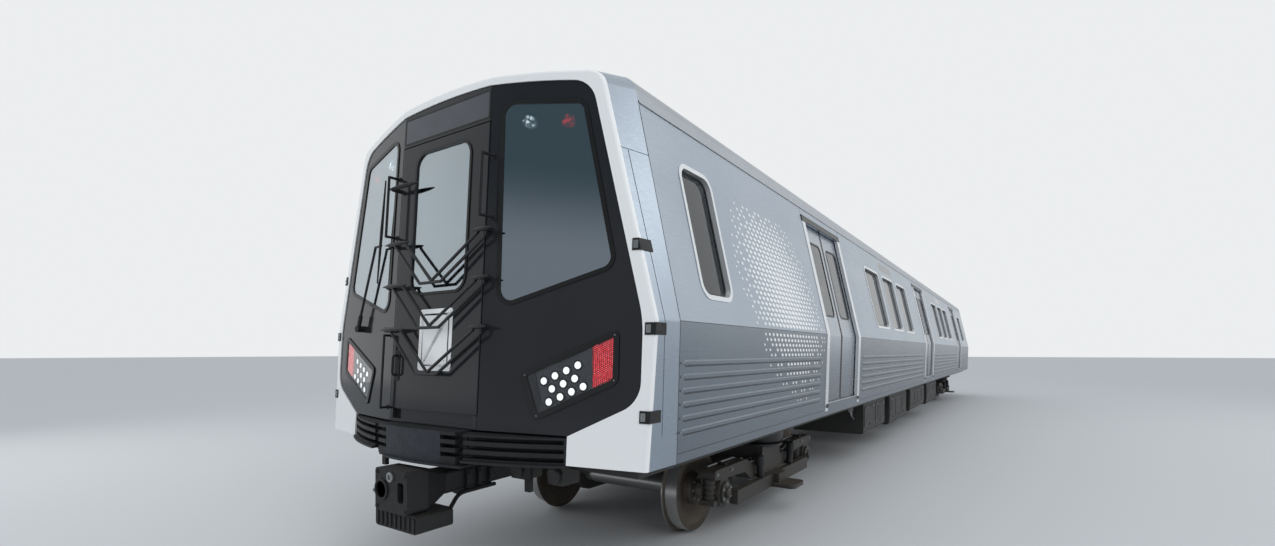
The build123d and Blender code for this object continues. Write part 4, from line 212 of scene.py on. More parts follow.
def embossed(tree, place, size, depth_mm, strength=1.0, detail=2.0):
    """A skin with lumps about so many metres across and so many millimetres deep."""
    lumps = {"Vector": place, "Scale": 1 / size, "Detail": detail}
    height = add_node(tree, "ShaderNodeTexNoise", inputs=lumps)
    depth = {"Height": height, "Distance": depth_mm * MM, "Strength": strength}
    return add_node(tree, "ShaderNodeBump", inputs=depth)


def facing(tree, axis):
    """How far a surface faces along an axis."""
    normal = add_node(tree, "ShaderNodeNewGeometry", output="Normal")
    return add_node(tree, "ShaderNodeSeparateXYZ", inputs={"Vector": normal}, output=axis)


def stainless_sheet(name, light, dark, roughness, soiled):
    """Stainless sheet, cold rolled and brushed lengthwise: soft streaks along the car, panels that wave a
    little between their welds, and a film of brake dust that thickens towards the sill where it is soiled."""
    material, tree, place = open_material(name)
    along = add_node(tree, "ShaderNodeMapping", inputs={"Vector": place, "Scale": (0.03, 1.0, 1.0)})
    # brush lines are about 0.2 mm apart on the real sheet; 8 mm here, so that they show
    lines = {"Vector": along, "Scale": 1 / 0.008, "Detail": 4.0}
    brushed = add_node(tree, "ShaderNodeTexNoise", inputs=lines)
    height = add_node(tree, "ShaderNodeSeparateXYZ", inputs={"Vector": place}, output="Z")
    rise = {"Value": height, "From Min": BELT_Z + 0.05, "From Max": SILL_Z, "To Max": soiled}
    dust = add_node(tree, "ShaderNodeMapRange", {"interpolation_type": "SMOOTHSTEP"}, rise)
    tone = mottled(tree, place, 0.9, light, dark)
    colour = add_node(tree, "ShaderNodeMix", RGBA, {0: dust, 6: tone, 7: linear("#5f6369")}, output=2)
    streaks = {"From Min": 0.35, "From Max": 0.65, "To Min": roughness - 0.03, "To Max": roughness + 0.05}
    gloss = add_node(tree, "ShaderNodeMapRange", inputs={"Value": brushed, **streaks})
    waves = embossed(tree, place, 0.45, 1.5, 0.35, detail=1.0)
    sockets = {"Base Color": colour, "Metallic": 1.0, "Roughness": gloss, "Anisotropic": 0.3, "Normal": waves}
    return close_material(material, tree, sockets)


def gelcoat(name, light, dark, roughness, ior):
    """Polyester gelcoat on a moulded glass-fibre front, polished: clear reflections, a faint orange peel."""
    material, tree, place = open_material(name)
    colour = mottled(tree, place, 0.9, light, dark)
    # the peel's lumps are 2 to 5 mm across on a gelcoat; 12 mm here, so that they show
    peel = embossed(tree, place, 0.012, 0.05, 0.6, detail=1.0)
    sockets = {"Base Color": colour, "Roughness": roughness, "IOR": ior, "Normal": peel}
    return close_material(material, tree, sockets)


def coated_glass(name, tint, mirror, rough):
    """Toughened float glass with a thin metal coat: it mirrors the room and dims the view of the inside."""
    material, tree, place = open_material(name)
    film = add_node(tree, "ShaderNodeTexNoise", inputs={"Vector": place, "Scale": 1 / 0.35, "Detail": 5.0})
    smears = {"Value": film, "From Min": 0.4, "From Max": 0.7, "To Min": rough, "To Max": rough + 0.05}
    sockets = {
        "Base Color": linear(tint),
        "Metallic": mirror,
        "Roughness": add_node(tree, "ShaderNodeMapRange", inputs=smears),
        "IOR": 1.52,
        "Transmission Weight": 1.0,
        # rolled glass bends a reflection over about half a metre
        "Normal": embossed(tree, place, 0.5, 1.0, 0.2, detail=0.0),
    }
    return close_material(material, tree, sockets)


def cast_acrylic(name, light, dark):
    """Cast acrylic sheet, smoked: a deep flat gloss over a dark blank, with a faint cloud in its tint."""
    material, tree, place = open_material(name)
    sockets = {"Base Color": mottled(tree, place, 0.2, light, dark), "Roughness": 0.05, "IOR": 1.49}
    return close_material(material, tree, sockets)


def moulded_rubber(name, light, dark, grain_mm):
    """Synthetic rubber, moulded or extruded: matt, with a greyish bloom and a fine pitted skin."""
    material, tree, place = open_material(name)
    bloom = mottled(tree, place, 0.08, dark, light, detail=4.0)
    pits = embossed(tree, place, grain_mm * MM, 0.3, 0.6)
    sockets = {"Base Color": bloom, "Roughness": 0.42, "IOR": 1.52, "Normal": pits}
    return close_material(material, tree, sockets)


def moulded_plastic(name, light, dark, roughness):
    """Injection-moulded ABS with a spark-eroded grain: a soft sheen broken by tiny pits."""
    material, tree, place = open_material(name)
    colour = mottled(tree, place, 0.12, light, dark)
    # the grain's cells are near 0.5 mm; 3 mm here, so that they show
    grain = add_node(tree, "ShaderNodeTexVoronoi", inputs={"Vector": place, "Scale": 1 / 0.003})
    pits = add_node(tree, "ShaderNodeBump", inputs={"Height": grain, "Distance": 0.15 * MM, "Strength": 0.5})
    sockets = {"Base Color": colour, "Roughness": roughness, "IOR": 1.53, "Normal": pits}
    return close_material(material, tree, sockets)


def lamp_polycarbonate(name, light, dark, glow, cell_mm):
    """Injection-moulded polycarbonate lens over lit diodes: glossy, with cells that glow at their middles."""
    material, tree, place = open_material(name)
    cells = add_node(tree, "ShaderNodeTexVoronoi", inputs={"Vector": place, "Scale": 1 / (cell_mm * MM)})
    rim = add_node(tree, "ShaderNodeMapRange", inputs={"Value": cells, "From Min": 0.1, "From Max": 0.6})
    colour = add_node(tree, "ShaderNodeMix", RGBA, {0: rim, 6: linear(light), 7: linear(dark)}, output=2)
    sockets = {
        "Base Color": colour,
        "Roughness": 0.08,
        "IOR": 1.585,
        "Emission Color": colour,
        "Emission Strength": glow,
        "Normal": add_node(
            tree, "ShaderNodeBump", inputs={"Height": cells, "Distance": 0.8 * MM, "Strength": 0.5}
        ),
    }
    return close_material(material, tree, sockets)


def enamelled_steel(name, light, dark, dust, dust_share, metallic=0.0, roughness=0.5):
    """Enamel sprayed on welded or cast steel: an uneven coat with runs of dirt and rail dust on its tops."""
    material, tree, place = open_material(name)
    coat = mottled(tree, place, 0.25, light, dark, detail=6.0)
    specks = {"Vector": place, "Scale": 1 / 0.04, "Detail": 8.0, "Roughness": 0.7}
    speckle = add_node(tree, "ShaderNodeTexNoise", inputs=specks)
    tops = {0: facing(tree, "Z"), 1: 0.35, 2: speckle}
    lying = add_node(tree, "ShaderNodeMath", {"operation": "MULTIPLY_ADD"}, tops)
    gathered = {"Value": lying, "From Min": 0.45, "From Max": 0.9, "To Max": dust_share}
    share = add_node(tree, "ShaderNodeMapRange", inputs=gathered)
    dulled = {"From Min": 0.35, "From Max": 0.7, "To Min": roughness, "To Max": roughness + 0.25}
    gloss = add_node(tree, "ShaderNodeMapRange", inputs={"Value": speckle, **dulled})
    colour = add_node(tree, "ShaderNodeMix", RGBA, {0: share, 6: coat, 7: linear(dust)}, output=2)
    sockets = {
        "Base Color": colour,
        "Metallic": metallic,
        "Roughness": gloss,
        "Normal": embossed(tree, place, 0.006, 0.3, 0.5),
    }
    return close_material(material, tree, sockets)


def anodised_aluminium(name, light, dark):
    """Extruded aluminium, brushed and anodised: a pale satin metal with fine lines along its length, whose
    clear film scatters a part of the light."""
    material, tree, place = open_material(name)
    along = add_node(tree, "ShaderNodeMapping", inputs={"Vector": place, "Scale": (1.0, 1.0, 0.02)})
    lines = add_node(tree, "ShaderNodeTexNoise", inputs={"Vector": along, "Scale": 1 / 0.004})
    colour = add_node(tree, "ShaderNodeMix", RGBA, {0: lines, 6: linear(light), 7: linear(dark)}, output=2)
    bump = add_node(tree, "ShaderNodeBump", inputs={"Height": lines, "Distance": 0.05 * MM, "Strength": 0.4})
    sockets = {"Base Color": colour, "Metallic": 0.5, "Roughness": 0.24, "Normal": bump}
    return close_material(material, tree, sockets)


def forged_wheel_steel(name):
    """Forged steel wheel: rolling keeps the tread bright; web and hub wear brown scale and brake dust."""
    material, tree, place = open_material(name)
    web = add_node(tree, "ShaderNodeMath", {"operation": "ABSOLUTE"}, {0: facing(tree, "Y")})
    scaled = add_node(tree, "ShaderNodeMapRange", inputs={"Value": web, "From Min": 0.05, "From Max": 0.25})
    patches = add_node(tree, "ShaderNodeTexNoise", inputs={"Vector": place, "Scale": 1 / 0.05, "Detail": 6.0})
    tones = {0: patches, 6: linear("#4b4540"), 7: linear("#6d6358")}
    rust = add_node(tree, "ShaderNodeMix", RGBA, tones, output=2)
    gloss = add_node(tree, "ShaderNodeMapRange", inputs={"Value": scaled, "To Min": 0.25, "To Max": 0.6})
    bump = add_node(tree, "ShaderNodeBump", inputs={"Height": patches, "Distance": 0.4 * MM, "Strength": 0.5})
    colour = add_node(tree, "ShaderNodeMix", RGBA, {0: scaled, 6: linear("#a9a8a6"), 7: rust}, output=2)
    sockets = {"Base Color": colour, "Metallic": 0.8, "Roughness": gloss, "Normal": bump}
    return close_material(material, tree, sockets)


def speckled_rubber_floor(name):
    """Rolled rubber flooring with pale chips in it: matt, slightly dimpled by its calender roll."""
    material, tree, place = open_material(name)
    cells = {"Vector": place, "Scale": 1 / 0.012}
    chips = add_node(tree, "ShaderNodeTexVoronoi", inputs=cells, output="Color")
    pick = add_node(tree, "ShaderNodeSeparateColor", inputs={"Color": chips})
    share = add_node(tree, "ShaderNodeMapRange", inputs={"Value": pick, "From Min": 0.8, "From Max": 0.82})
    tones = {0: share, 6: linear("#4d5154"), 7: linear("#5f6467")}
    colour = add_node(tree, "ShaderNodeMix", RGBA, tones, output=2)
    dimples = embossed(tree, place, 0.004, 0.2)
    sockets = {"Base Color": colour, "Roughness": 0.55, "IOR": 1.52, "Normal": dimples}
    return close_material(material, tree, sockets)


def pressed_laminate(name, light, dark):
    """High-pressure laminate on a honeycomb board: smooth and semi-matt, with a faint mottled print."""
    material, tree, place = open_material(name)
    colour = mottled(tree, place, 0.03, light, dark, detail=5.0)
    skin = embossed(tree, place, 0.005, 0.05)
    sockets = {"Base Color": colour, "Roughness": 0.35, "IOR": 1.5, "Normal": skin}
    return close_material(material, tree, sockets)


def woven_moquette(name):
    """Wool moquette, woven with a cut pile: soft edge sheen, two blues in a small weave, no gloss."""
    material, tree, place = open_material(name)
    # threads are near 1 mm apart; 4 mm here, so that they show
    weave = {"Vector": place, "Scale": 0.314 / 0.004, "Distortion": 1.0}
    warp = add_node(tree, "ShaderNodeTexWave", {"bands_direction": "Y"}, weave)
    weft = add_node(tree, "ShaderNodeTexWave", {"bands_direction": "DIAGONAL"}, weave)
    pile = add_node(tree, "ShaderNodeMath", {"operation": "MULTIPLY"}, {0: warp, 1: weft})
    tones = {0: pile, 6: linear("#1f2f45"), 7: linear("#3c5474")}
    colour = add_node(tree, "ShaderNodeMix", RGBA, tones, output=2)
    bump = add_node(tree, "ShaderNodeBump", inputs={"Height": pile, "Distance": 0.8 * MM})
    sockets = {"Base Color": colour, "Roughness": 0.9, "Sheen Weight": 0.5, "Normal": bump}
    return close_material(material, tree, sockets)


# Each finish: the function that makes it, then its colours and settings
FINISHES = {
    "stainless_sheet_brushed_side": (stainless_sheet, "#acb6c1", "#9ca7b3", 0.3, 0.0),
    # the side's stainless made darker below the belt: painted shade, with a little brake dust towards the
    # sill
    "stainless_sheet_fluted_side": (stainless_sheet, "#8e969f", "#7e868f", 0.3, 0.2),
    "stainless_sheet_brushed_door": (stainless_sheet, "#b0b8c1", "#a0a8b1", 0.26, 0.7),
    "stainless_sheet_brushed_roof": (stainless_sheet, "#b0b6bc", "#a0a6ac", 0.38, 0.0),
    "gelcoat_white_moulded": (gelcoat, "#f1f2f2", "#e8eaeb", 0.2, 1.5),
    "gelcoat_charcoal_moulded": (gelcoat, "#2a2b2e", "#212225", 0.12, 1.42),
    "float_glass_metallised": (coated_glass, "#b9c4ca", 0.8, 0.01),
    "float_glass_grey_tinted": (coated_glass, "#5f6669", 0.12, 0.02),
    "polycarbonate_clear_moulded": (coated_glass, "#f4f6f7", 0.0, 0.01),
    "epdm_rubber_extruded": (moulded_rubber, "#0f0f10", "#060607", 3.0),
    "natural_rubber_moulded": (moulded_rubber, "#232324", "#131314", 5.0),
    "polyurethane_sealant_tooled": (moulded_rubber, "#3b3f43", "#2a2d30", 8.0),
    "abs_black_moulded": (moulded_plastic, "#101112", "#0a0b0c", 0.38),
    "abs_grey_moulded": (moulded_plastic, "#55585c", "#484b4f", 0.42),
    "grp_seat_shell_blue": (moulded_plastic, "#46607b", "#3a5068", 0.36),
    "vinyl_film_white_cut": (moulded_plastic, "#f6f7f7", "#eef0f1", 0.35),
    "acrylic_smoked_cast": (cast_acrylic, "#4c5057", "#3a3e45"),
    "polycarbonate_diffuser_lit": (lamp_polycarbonate, "#fbfaf4", "#f2f1ea", 0.8, 6.0),
    "polycarbonate_cell_red_lit": (lamp_polycarbonate, "#ff6068", "#e0303c", 0.9, 20.0),
    "polycarbonate_marker_white_lit": (lamp_polycarbonate, "#ffffff", "#2a3033", 22.0, 19.0),
    "polycarbonate_marker_red_lit": (lamp_polycarbonate, "#ff2a34", "#36080c", 18.0, 19.0),
    "polycarbonate_lens_white_lit": (lamp_polycarbonate, "#ffffff", "#eef3f6", 1.1, 16.0),
    "polycarbonate_lens_red_lit": (lamp_polycarbonate, "#d8232b", "#86101a", 0.35, 14.0),
    "enamel_dark_grey_steel": (enamelled_steel, "#1c1e21", "#131517", "#2c2f32", 0.25),
    "enamel_blue_grey_steel": (enamelled_steel, "#2a3038", "#20252c", "#343a41", 0.2),
    "enamel_underframe_dusty": (enamelled_steel, "#2e2e2d", "#222221", "#585148", 0.45),
    "enamel_bogie_dusty": (enamelled_steel, "#363431", "#2a2826", "#62584b", 0.5),
    "powder_coat_black": (enamelled_steel, "#1b1c1e", "#131415", "#2e3032", 0.25),
    # the coupler's dark paint, made near black also as painted shade of the deep shadow it stands in
    "cast_iron_painted": (enamelled_steel, "#222324", "#171718", "#413d37", 0.35, 0.1),
    "zinc_plated_steel": (enamelled_steel, "#a8abad", "#8d9092", "#7b7368", 0.35, 0.8, 0.3),
    "anodised_aluminium_extruded": (anodised_aluminium, "#e6e9eb", "#d8dcdf"),
    "forged_wheel_steel": (forged_wheel_steel,),
    "rubber_floor_speckled": (speckled_rubber_floor,),
    "laminate_cream_pressed": (pressed_laminate, "#dcd8cc", "#d0ccbf"),
    "wool_moquette_woven": (woven_moquette,),
}

# The finish of each of the record's slots
SLOT_FINISH = {
    "white_paint": "gelcoat_white_moulded",
    "stainless": "stainless_sheet_brushed_side",
    "door_steel": "stainless_sheet_brushed_door",
    "roof_steel": "stainless_sheet_brushed_roof",
    "dark_mask": "gelcoat_charcoal_moulded",
    "dark_glass": "float_glass_grey_tinted",
    "seal_rubber": "epdm_rubber_extruded",
    "black_rubber": "natural_rubber_moulded",
    "black_plastic": "abs_black_moulded",
    "lamp_lens": "polycarbonate_lens_white_lit",
    "red_lens": "polycarbonate_lens_red_lit",
    "grey_steel_paint": "enamel_dark_grey_steel",
    "bright_aluminium": "anodised_aluminium_extruded",
    "floor_rubber": "rubber_floor_speckled",
    "underframe_paint": "enamel_underframe_dusty",
    "bogie_paint": "enamel_bogie_dusty",
    "black_paint": "powder_coat_black",
    "cream_laminate": "laminate_cream_pressed",
    "seat_fabric": "wool_moquette_woven",
    "seat_plastic": "grp_seat_shell_blue",
    "coupler_iron": "cast_iron_painted",
    "wheel_steel": "forged_wheel_steel",
}


def finish(name):
    """The material of a finish, made the first time that it is asked for."""
    make, *settings = FINISHES[name]
    return bpy.data.materials.get(name) or make(name, *settings)


def side_half(z):
    """Half width of the body at a height below the gutter."""
    if z < BELT_Z:
        return SILL_HALF + (BELT_HALF - SILL_HALF) * (z - SILL_Z) / (BELT_Z - SILL_Z)
    return BELT_HALF - (BELT_HALF - EAVE_HALF) * (z - BELT_Z) / (EAVE_Z - BELT_Z)


def on_side(side):
    """Turns a station, a height and a stand-off into a point on one side of the body."""
    return lambda x, z, out: (x, side * (side_half(z) + out), z)


def on_face(y, z, out):
    """Turns a place across and up the cab mask, and a stand-off, into a point."""
    sweep = FACE_SWEEP * max(0.0, abs(y) - FACE_FLAT_HALF)
    return (FACE_X - FACE_LEAN * (z - FACE_REF_Z) - sweep - MASK_RECESS + out, y, z)


def face_out(side=0):
    """About the way that the cab mask faces, at its middle or on the part swept back on one side."""
    return (1, side * 0.2, 0.06)


def on_end(x, way):
    """Turns a place across and up a face square to the car's length, and a stand-off, into a point."""
    return lambda y, z, out: (x + way * out, y, z)


on_rear = on_end(REAR_FACE_X, -1)


def on_level(x, y, out):
    """Turns a place on the car's plan, and a height, into a point."""
    return (x, y, out)


def on_roof(x, y, out):
    """Turns a station, a place across the roof and a stand-off into a point."""
    return (x, y, ROOF_TOP_Z - ROOF_RADIUS + math.sqrt(ROOF_RADIUS**2 - y**2) + out)


def oblong(low, high):
    """Corner points of a plain rectangle between two opposite corners."""
    return [(low[0], low[1]), (high[0], low[1]), (high[0], high[1]), (low[0], high[1])]


def rounded(centre, width, height, radius, steps=6):
    """Corner points of a rounded rectangle."""
    points = []
    for turn, (across, up) in enumerate(((1, 1), (-1, 1), (-1, -1), (1, -1))):
        middle = (centre[0] + across * (width / 2 - radius), centre[1] + up * (height / 2 - radius))
        for step in range(steps + 1):
            angle = math.pi / 2 * (turn + step / steps)
            points.append((middle[0] + radius * math.cos(angle), middle[1] + radius * math.sin(angle)))
    return points


def curve(before, here, after, reach, steps=5):
    """Points that round the middle one of three corners, from a reach before it to a reach after it."""
    start, end = (here + (other - here).normalized() * reach for other in (before, after))
    parts = [step / steps for step in range(steps + 1)]
    return [start * (1 - part) ** 2 + here * 2 * part * (1 - part) + end * part**2 for part in parts]


def eased(points, radius):
    """A polygon with its corners rounded."""
    corners = [Vector(point) for point in points]
    triples = zip([corners[-1], *corners], corners, [*corners[1:], corners[0]])
    return [tuple(point) for triple in triples for point in curve(*triple, radius)]


def inset(outline, amount):
    """A convex outline moved inwards by an amount, corner by corner."""
    count = len(outline)
    area = sum(outline[i - 1][0] * outline[i][1] - outline[i][0] * outline[i - 1][1] for i in range(count))
    turn = 1 if area > 0 else -1
    moved = []
    for i in range(count):
        here, before, after = (Vector(outline[k]) for k in (i, i - 1, (i + 1) % count))
        first, second = (here - before).normalized(), (after - here).normalized()
        normals = [Vector((-d.y, d.x)) * turn for d in (first, second)]
        bisector = normals[0] + normals[1]
        moved.append(tuple(here + bisector * (amount / (bisector.length_squared / 2))))
    return moved


def flipped(points, side):
    """An outline of the left half, or its mirror image."""
    return [(side * across, up) for across, up in points]


def inside(point, outline):
    """Whether a flat point lies inside an outline."""
    within = False
    for (x1, y1), (x2, y2) in zip(outline, [*outline[1:], outline[0]]):
        if (y1 > point[1]) != (y2 > point[1]) and point[0] < (x2 - x1) * (point[1] - y1) / (y2 - y1) + x1:
            within = not within
    return within


def around(count):
    """The number of each corner of a loop, with the number of the next one."""
    return [(i, (i + 1) % count) for i in range(count)]


def plate(outline, place, low, high):
    """A flat shape between two stand-offs."""
    count = len(outline)
    points = [place(u, v, depth) for depth in (low, high) for u, v in outline]
    sides = [(i, j, count + j, count + i) for i, j in around(count)]
    return points, [tuple(range(count)), tuple(range(count, 2 * count)), *sides]


def band(outer, inner, place, low, high):
    """A closed ring between two outlines and two stand-offs."""
    count = len(outer)
    loops = ((outer, low), (outer, high), (inner, high), (inner, low))
    points = [place(u, v, depth) for outline, depth in loops for u, v in outline]
    faces = []
    for loop in range(4):
        here, there = loop * count, (loop + 1) % 4 * count
        faces += [(here + i, here + j, there + j, there + i) for i, j in around(count)]
    return points, faces


def strip(start, end, width, place, low, high):
    """A straight strip between two places, so wide and between two stand-offs."""
    first, second = Vector(start), Vector(end)
    line = (second - first).normalized()
    across = Vector((-line.y, line.x)) * width / 2
    corners = (first - across, second - across, second + across, first + across)
    return plate([tuple(corner) for corner in corners], place, low, high)


def block(one, other):
    """A block between two opposite corners, for the bevel to round."""
    low, high = [min(pair) for pair in zip(one, other)], [max(pair) for pair in zip(one, other)]
    return plate(oblong(low, high), on_level, low[2], high[2])


def circle(middle, first, second, radius, sides):
    """Points of a circle about a middle, in the plane of two directions square to each other."""
    angles = [2 * math.pi * side / sides for side in range(sides)]
    return [tuple(middle + (first * math.cos(a) + second * math.sin(a)) * radius) for a in angles]


def skin(rings):
    """A closed form over rings of points, each joined to the next, with flat ends."""
    sides = len(rings[0])
    last = (len(rings) - 1) * sides
    faces = [tuple(range(sides)), tuple(range(last, last + sides))]
    for here in range(0, last, sides):
        there = here + sides
        faces += [(here + i, here + j, there + j, there + i) for i, j in around(sides)]
    return [point for ring in rings for point in ring], faces


def turned(start, direction, profile, sides=12):
    """A form turned about an axis, from a table of distances along it and radii."""
    axis = Vector(direction).normalized()
    first = axis.orthogonal().normalized()
    second = axis.cross(first)
    middles = [(Vector(start) + axis * along, radius) for along, radius in profile]
    return skin([circle(middle, first, second, radius, sides) for middle, radius in middles])


def rod(start, end, radius, sides=12):
    """A round bar between two points, with its ends eased."""
    line = Vector(end) - Vector(start)
    ease = min(radius * 0.3, line.length * 0.2)
    profile = ((0, radius - ease), (ease, radius), (line.length - ease, radius), (line.length, radius - ease))
    return turned(start, line, profile, sides)


def pipe(corners, radius, bend=0.06, sides=10):
    """A bent rigid pipe along its corner points."""
    corners = [Vector(corner) for corner in corners]
    path = [corners[0]]
    for before, here, after in zip(corners, corners[1:], corners[2:]):
        reach = min(bend, (here - before).length / 2, (after - here).length / 2)
        path += curve(before, here, after, reach)
    path.append(corners[-1])
    across = (path[1] - path[0]).orthogonal().normalized()
    rings = []
    for index, middle in enumerate(path):
        axis = (path[min(index + 1, len(path) - 1)] - path[max(index - 1, 0)]).normalized()
        across = (across - axis * across.dot(axis)).normalized()
        rings.append(circle(middle, across, axis.cross(across), radius, sides))
    return skin(rings)


def bolt(place, direction, radius, height):
    """A six-sided bolt head on its washer."""
    washer = turned(place, direction, ((0, radius * 1.5), (height * 0.25, radius * 1.5)), 14)
    head = ((height * 0.2, radius), (height * 0.85, radius), (height, radius * 0.8))
    return [washer, turned(place, direction, head, 6)]


def stud(place, direction, radius, height):
    """A low domed rivet or weld spot."""
    return turned(place, direction, ((0, radius), (height * 0.7, radius * 0.8), (height, radius * 0.4)), 8)


def make_piece(name, shapes, finish_name, body="root", bevel_mm=0.0, smooth=False):
    """One piece from its shapes, with its finish and body."""
    mesh = bpy.data.meshes.new(name)
    form = bmesh.new()
    for points, faces in shapes:
        corners = [form.verts.new(point) for point in points]
        for face in faces:
            form.faces.new([corners[i] for i in face])
    bmesh.ops.recalc_face_normals(form, faces=form.faces)
    form.to_mesh(mesh)
    form.free()
    piece = bpy.data.objects.new(name, mesh)
    bpy.context.scene.collection.objects.link(piece)
    mesh.materials.append(finish(finish_name))
    if smooth:
        mesh.shade_smooth()
    if bevel_mm:
        bevel = piece.modifiers.new("eased_edges", "BEVEL")
        bevel.width = bevel_mm * MM
        bevel.segments = 2
        bevel.limit_method = "ANGLE"
    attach(piece, body)
    return piece


class METRO_PG_trim(bpy.types.PropertyGroup):
    """Sizes of the trim on the body"""

    seam_width: bpy.props.FloatProperty(
        name="Seam width", description="Width of the sealant in panel joints", default=0.005, unit="LENGTH"
    )
    gasket_width: bpy.props.FloatProperty(
        name="Gasket width", description="Width of the rubber around each pane", default=0.016, unit="LENGTH"
    )
    stud_pitch: bpy.props.FloatProperty(
        name="Stud pitch", description="Distance between the weld studs", default=0.15, unit="LENGTH"
    )
    dot_pitch: bpy.props.FloatProperty(
        name="Dot pitch", description="Distance between the film dots", default=0.082, unit="LENGTH"
    )
    dot_height: bpy.props.FloatProperty(
        name="Dot height", description="Height of the largest film dot", default=0.034, unit="LENGTH"
    )


class METRO_PG_stage(bpy.types.PropertyGroup):
    """Colours of the stage and place of its camera"""

    floor_colour: bpy.props.FloatVectorProperty(
        name="Floor colour",
        description="Colour of the plain floor",
        subtype="COLOR",
        size=4,
        default=linear("#d5d7d8"),
    )
    backdrop_colour: bpy.props.FloatVectorProperty(
        name="Backdrop colour",
        description="Colour behind the car, as the camera and the glossy surfaces see it",
        subtype="COLOR",
        size=4,
        default=linear("#eceeef"),
    )
    flag_colour: bpy.props.FloatVectorProperty(
        name="Flag colour",
        description="Colour of the dark side of the studio, ahead of the cab, as glossy surfaces see it",
        subtype="COLOR",
        size=4,
        default=linear("#55646b"),
    )
    flag_low_colour: bpy.props.FloatVectorProperty(
        name="Low flag colour",
        description="Colour of the dark side of the studio near the floor, as glossy surfaces see it",
        subtype="COLOR",
        size=4,
        default=linear("#989ca3"),
    )
    eye: bpy.props.FloatVectorProperty(
        name="Eye point",
        description="Where the camera stands",
        subtype="XYZ",
        unit="LENGTH",
        size=3,
        default=(13.473, 3.084, 1.555),
    )
    heading: bpy.props.FloatProperty(
        name="Heading",
        description="Turn of the level camera about the vertical",
        subtype="ANGLE",
        unit="ROTATION",
        default=math.radians(125.36),
    )
    lens: bpy.props.FloatProperty(
        name="Lens", description="Focal length on a sensor 36 mm wide", default=16.2155, unit="CAMERA"
    )


def paint_faces(node, rules):
    """Gives a CAD node its rules' finishes. A face takes the last one whose test holds, or else keeps the
    number of the finish that it had, which is the first one's at the start."""
    mesh = NODES[node].data
    mesh.materials.clear()
    for finish_name, _ in rules:
        mesh.materials.append(finish(finish_name))
    for index, (_, test) in enumerate(rules):
        if test:
            for face in mesh.polygons:
                if test(face.center, face.normal):
                    face.material_index = index


def stand_off(point):
    """How far a point stands ahead of the cab mask."""
    return point.x - on_face(point.y, point.z, 0.0)[0]


def on_painted_shade_low_wall(at, normal):
    """A face of the side walls below the belt, which takes a darker copy of the side's stainless as painted
    shade.
    """
    return at.z < BELT_Z - MM and WALL_FORE_X > at.x > REAR_X and abs(normal.y) > 0.5


def on_marker(at, normal):
    """A face of the marker lamps behind the tops of the windscreens."""
    return at.z > MARKER_LOW_Z


def on_nose(at, normal):
    """A face of the front anticlimber's smooth middle."""
    return at.x > 0 and normal.x > 0.3 and abs(at.y) < NOSE_HALF


def on_end_seal(at, normal):
    """A face of the rubber that stands out of the cab end door."""
    return stand_off(at) > MM


def on_end_glass(at, normal):
    """A face of the cab end door's pane."""
    half, low, high = END_GLASS
    pane = abs(normal.x) > 0.9 and -0.016 < stand_off(at) < -0.003
    return pane and abs(at.y) < half and low < at.z < high


def on_lamp_board(at, normal):
    """A face of the board that the headlamps stand on."""
    return normal.x > 0.8 and -0.006 < stand_off(at) < -0.002


def on_rear_glass(at, normal):
    """A face of the rear door's pane."""
    return abs(normal.x) > 0.9 and -11.141 < at.x < -11.129


def on_leaf_glass(at, normal):
    """A face of a sliding leaf's pane, by how deep it lies in the side wall and by its height."""
    deep = abs(normal.y) > 0.9 and 0.039 < side_half(at.z) - abs(at.y) < 0.051
    return deep and LEAF_GLASS[1] - 0.02 < at.z < LEAF_GLASS[2] + 0.02


# CAD nodes with more finishes than their slot's, or another: that of the whole, then those of tested faces
PAINTWORK = {
    "headlamps": [("polycarbonate_lens_white_lit", None), ("polycarbonate_marker_white_lit", on_marker)],
    "tail_lamps": [("polycarbonate_lens_red_lit", None), ("polycarbonate_marker_red_lit", on_marker)],
    "anticlimbers": [("enamel_dark_grey_steel", None), ("enamel_blue_grey_steel", on_nose)],
    "windscreens": [("float_glass_metallised", None)],
    "sign_windows": [("acrylic_smoked_cast", None)],
    "cab_end_door": [
        ("gelcoat_charcoal_moulded", None),
        ("epdm_rubber_extruded", on_end_seal),
        ("float_glass_metallised", on_end_glass),
    ],
    "lamp_housings": [("abs_black_moulded", None), ("abs_grey_moulded", on_lamp_board)],
    "rear_end_door": [("stainless_sheet_brushed_door", None), ("float_glass_grey_tinted", on_rear_glass)],
}


class METRO_OT_finishes(bpy.types.Operator):
    """Gives every CAD node its finish"""

    bl_idname = "metro.finishes"
    bl_label = "Finishes"

    def execute(self, context):
        for part in frame["record"]["subparts"]:
            node, slot = part["node"], part["material_slot"]
            rules = [(SLOT_FINISH[slot], None)]
            # below the belt the side walls take a darker copy of their stainless: painted shade
            if slot == "stainless":
                rules.append(("stainless_sheet_fluted_side", on_painted_shade_low_wall))
            if slot == "door_steel":
                rules.append(("float_glass_grey_tinted", on_leaf_glass))
            paint_faces(node, rules)
            if node in PAINTWORK:
                paint_faces(node, PAINTWORK[node])
        return {"FINISHED"}


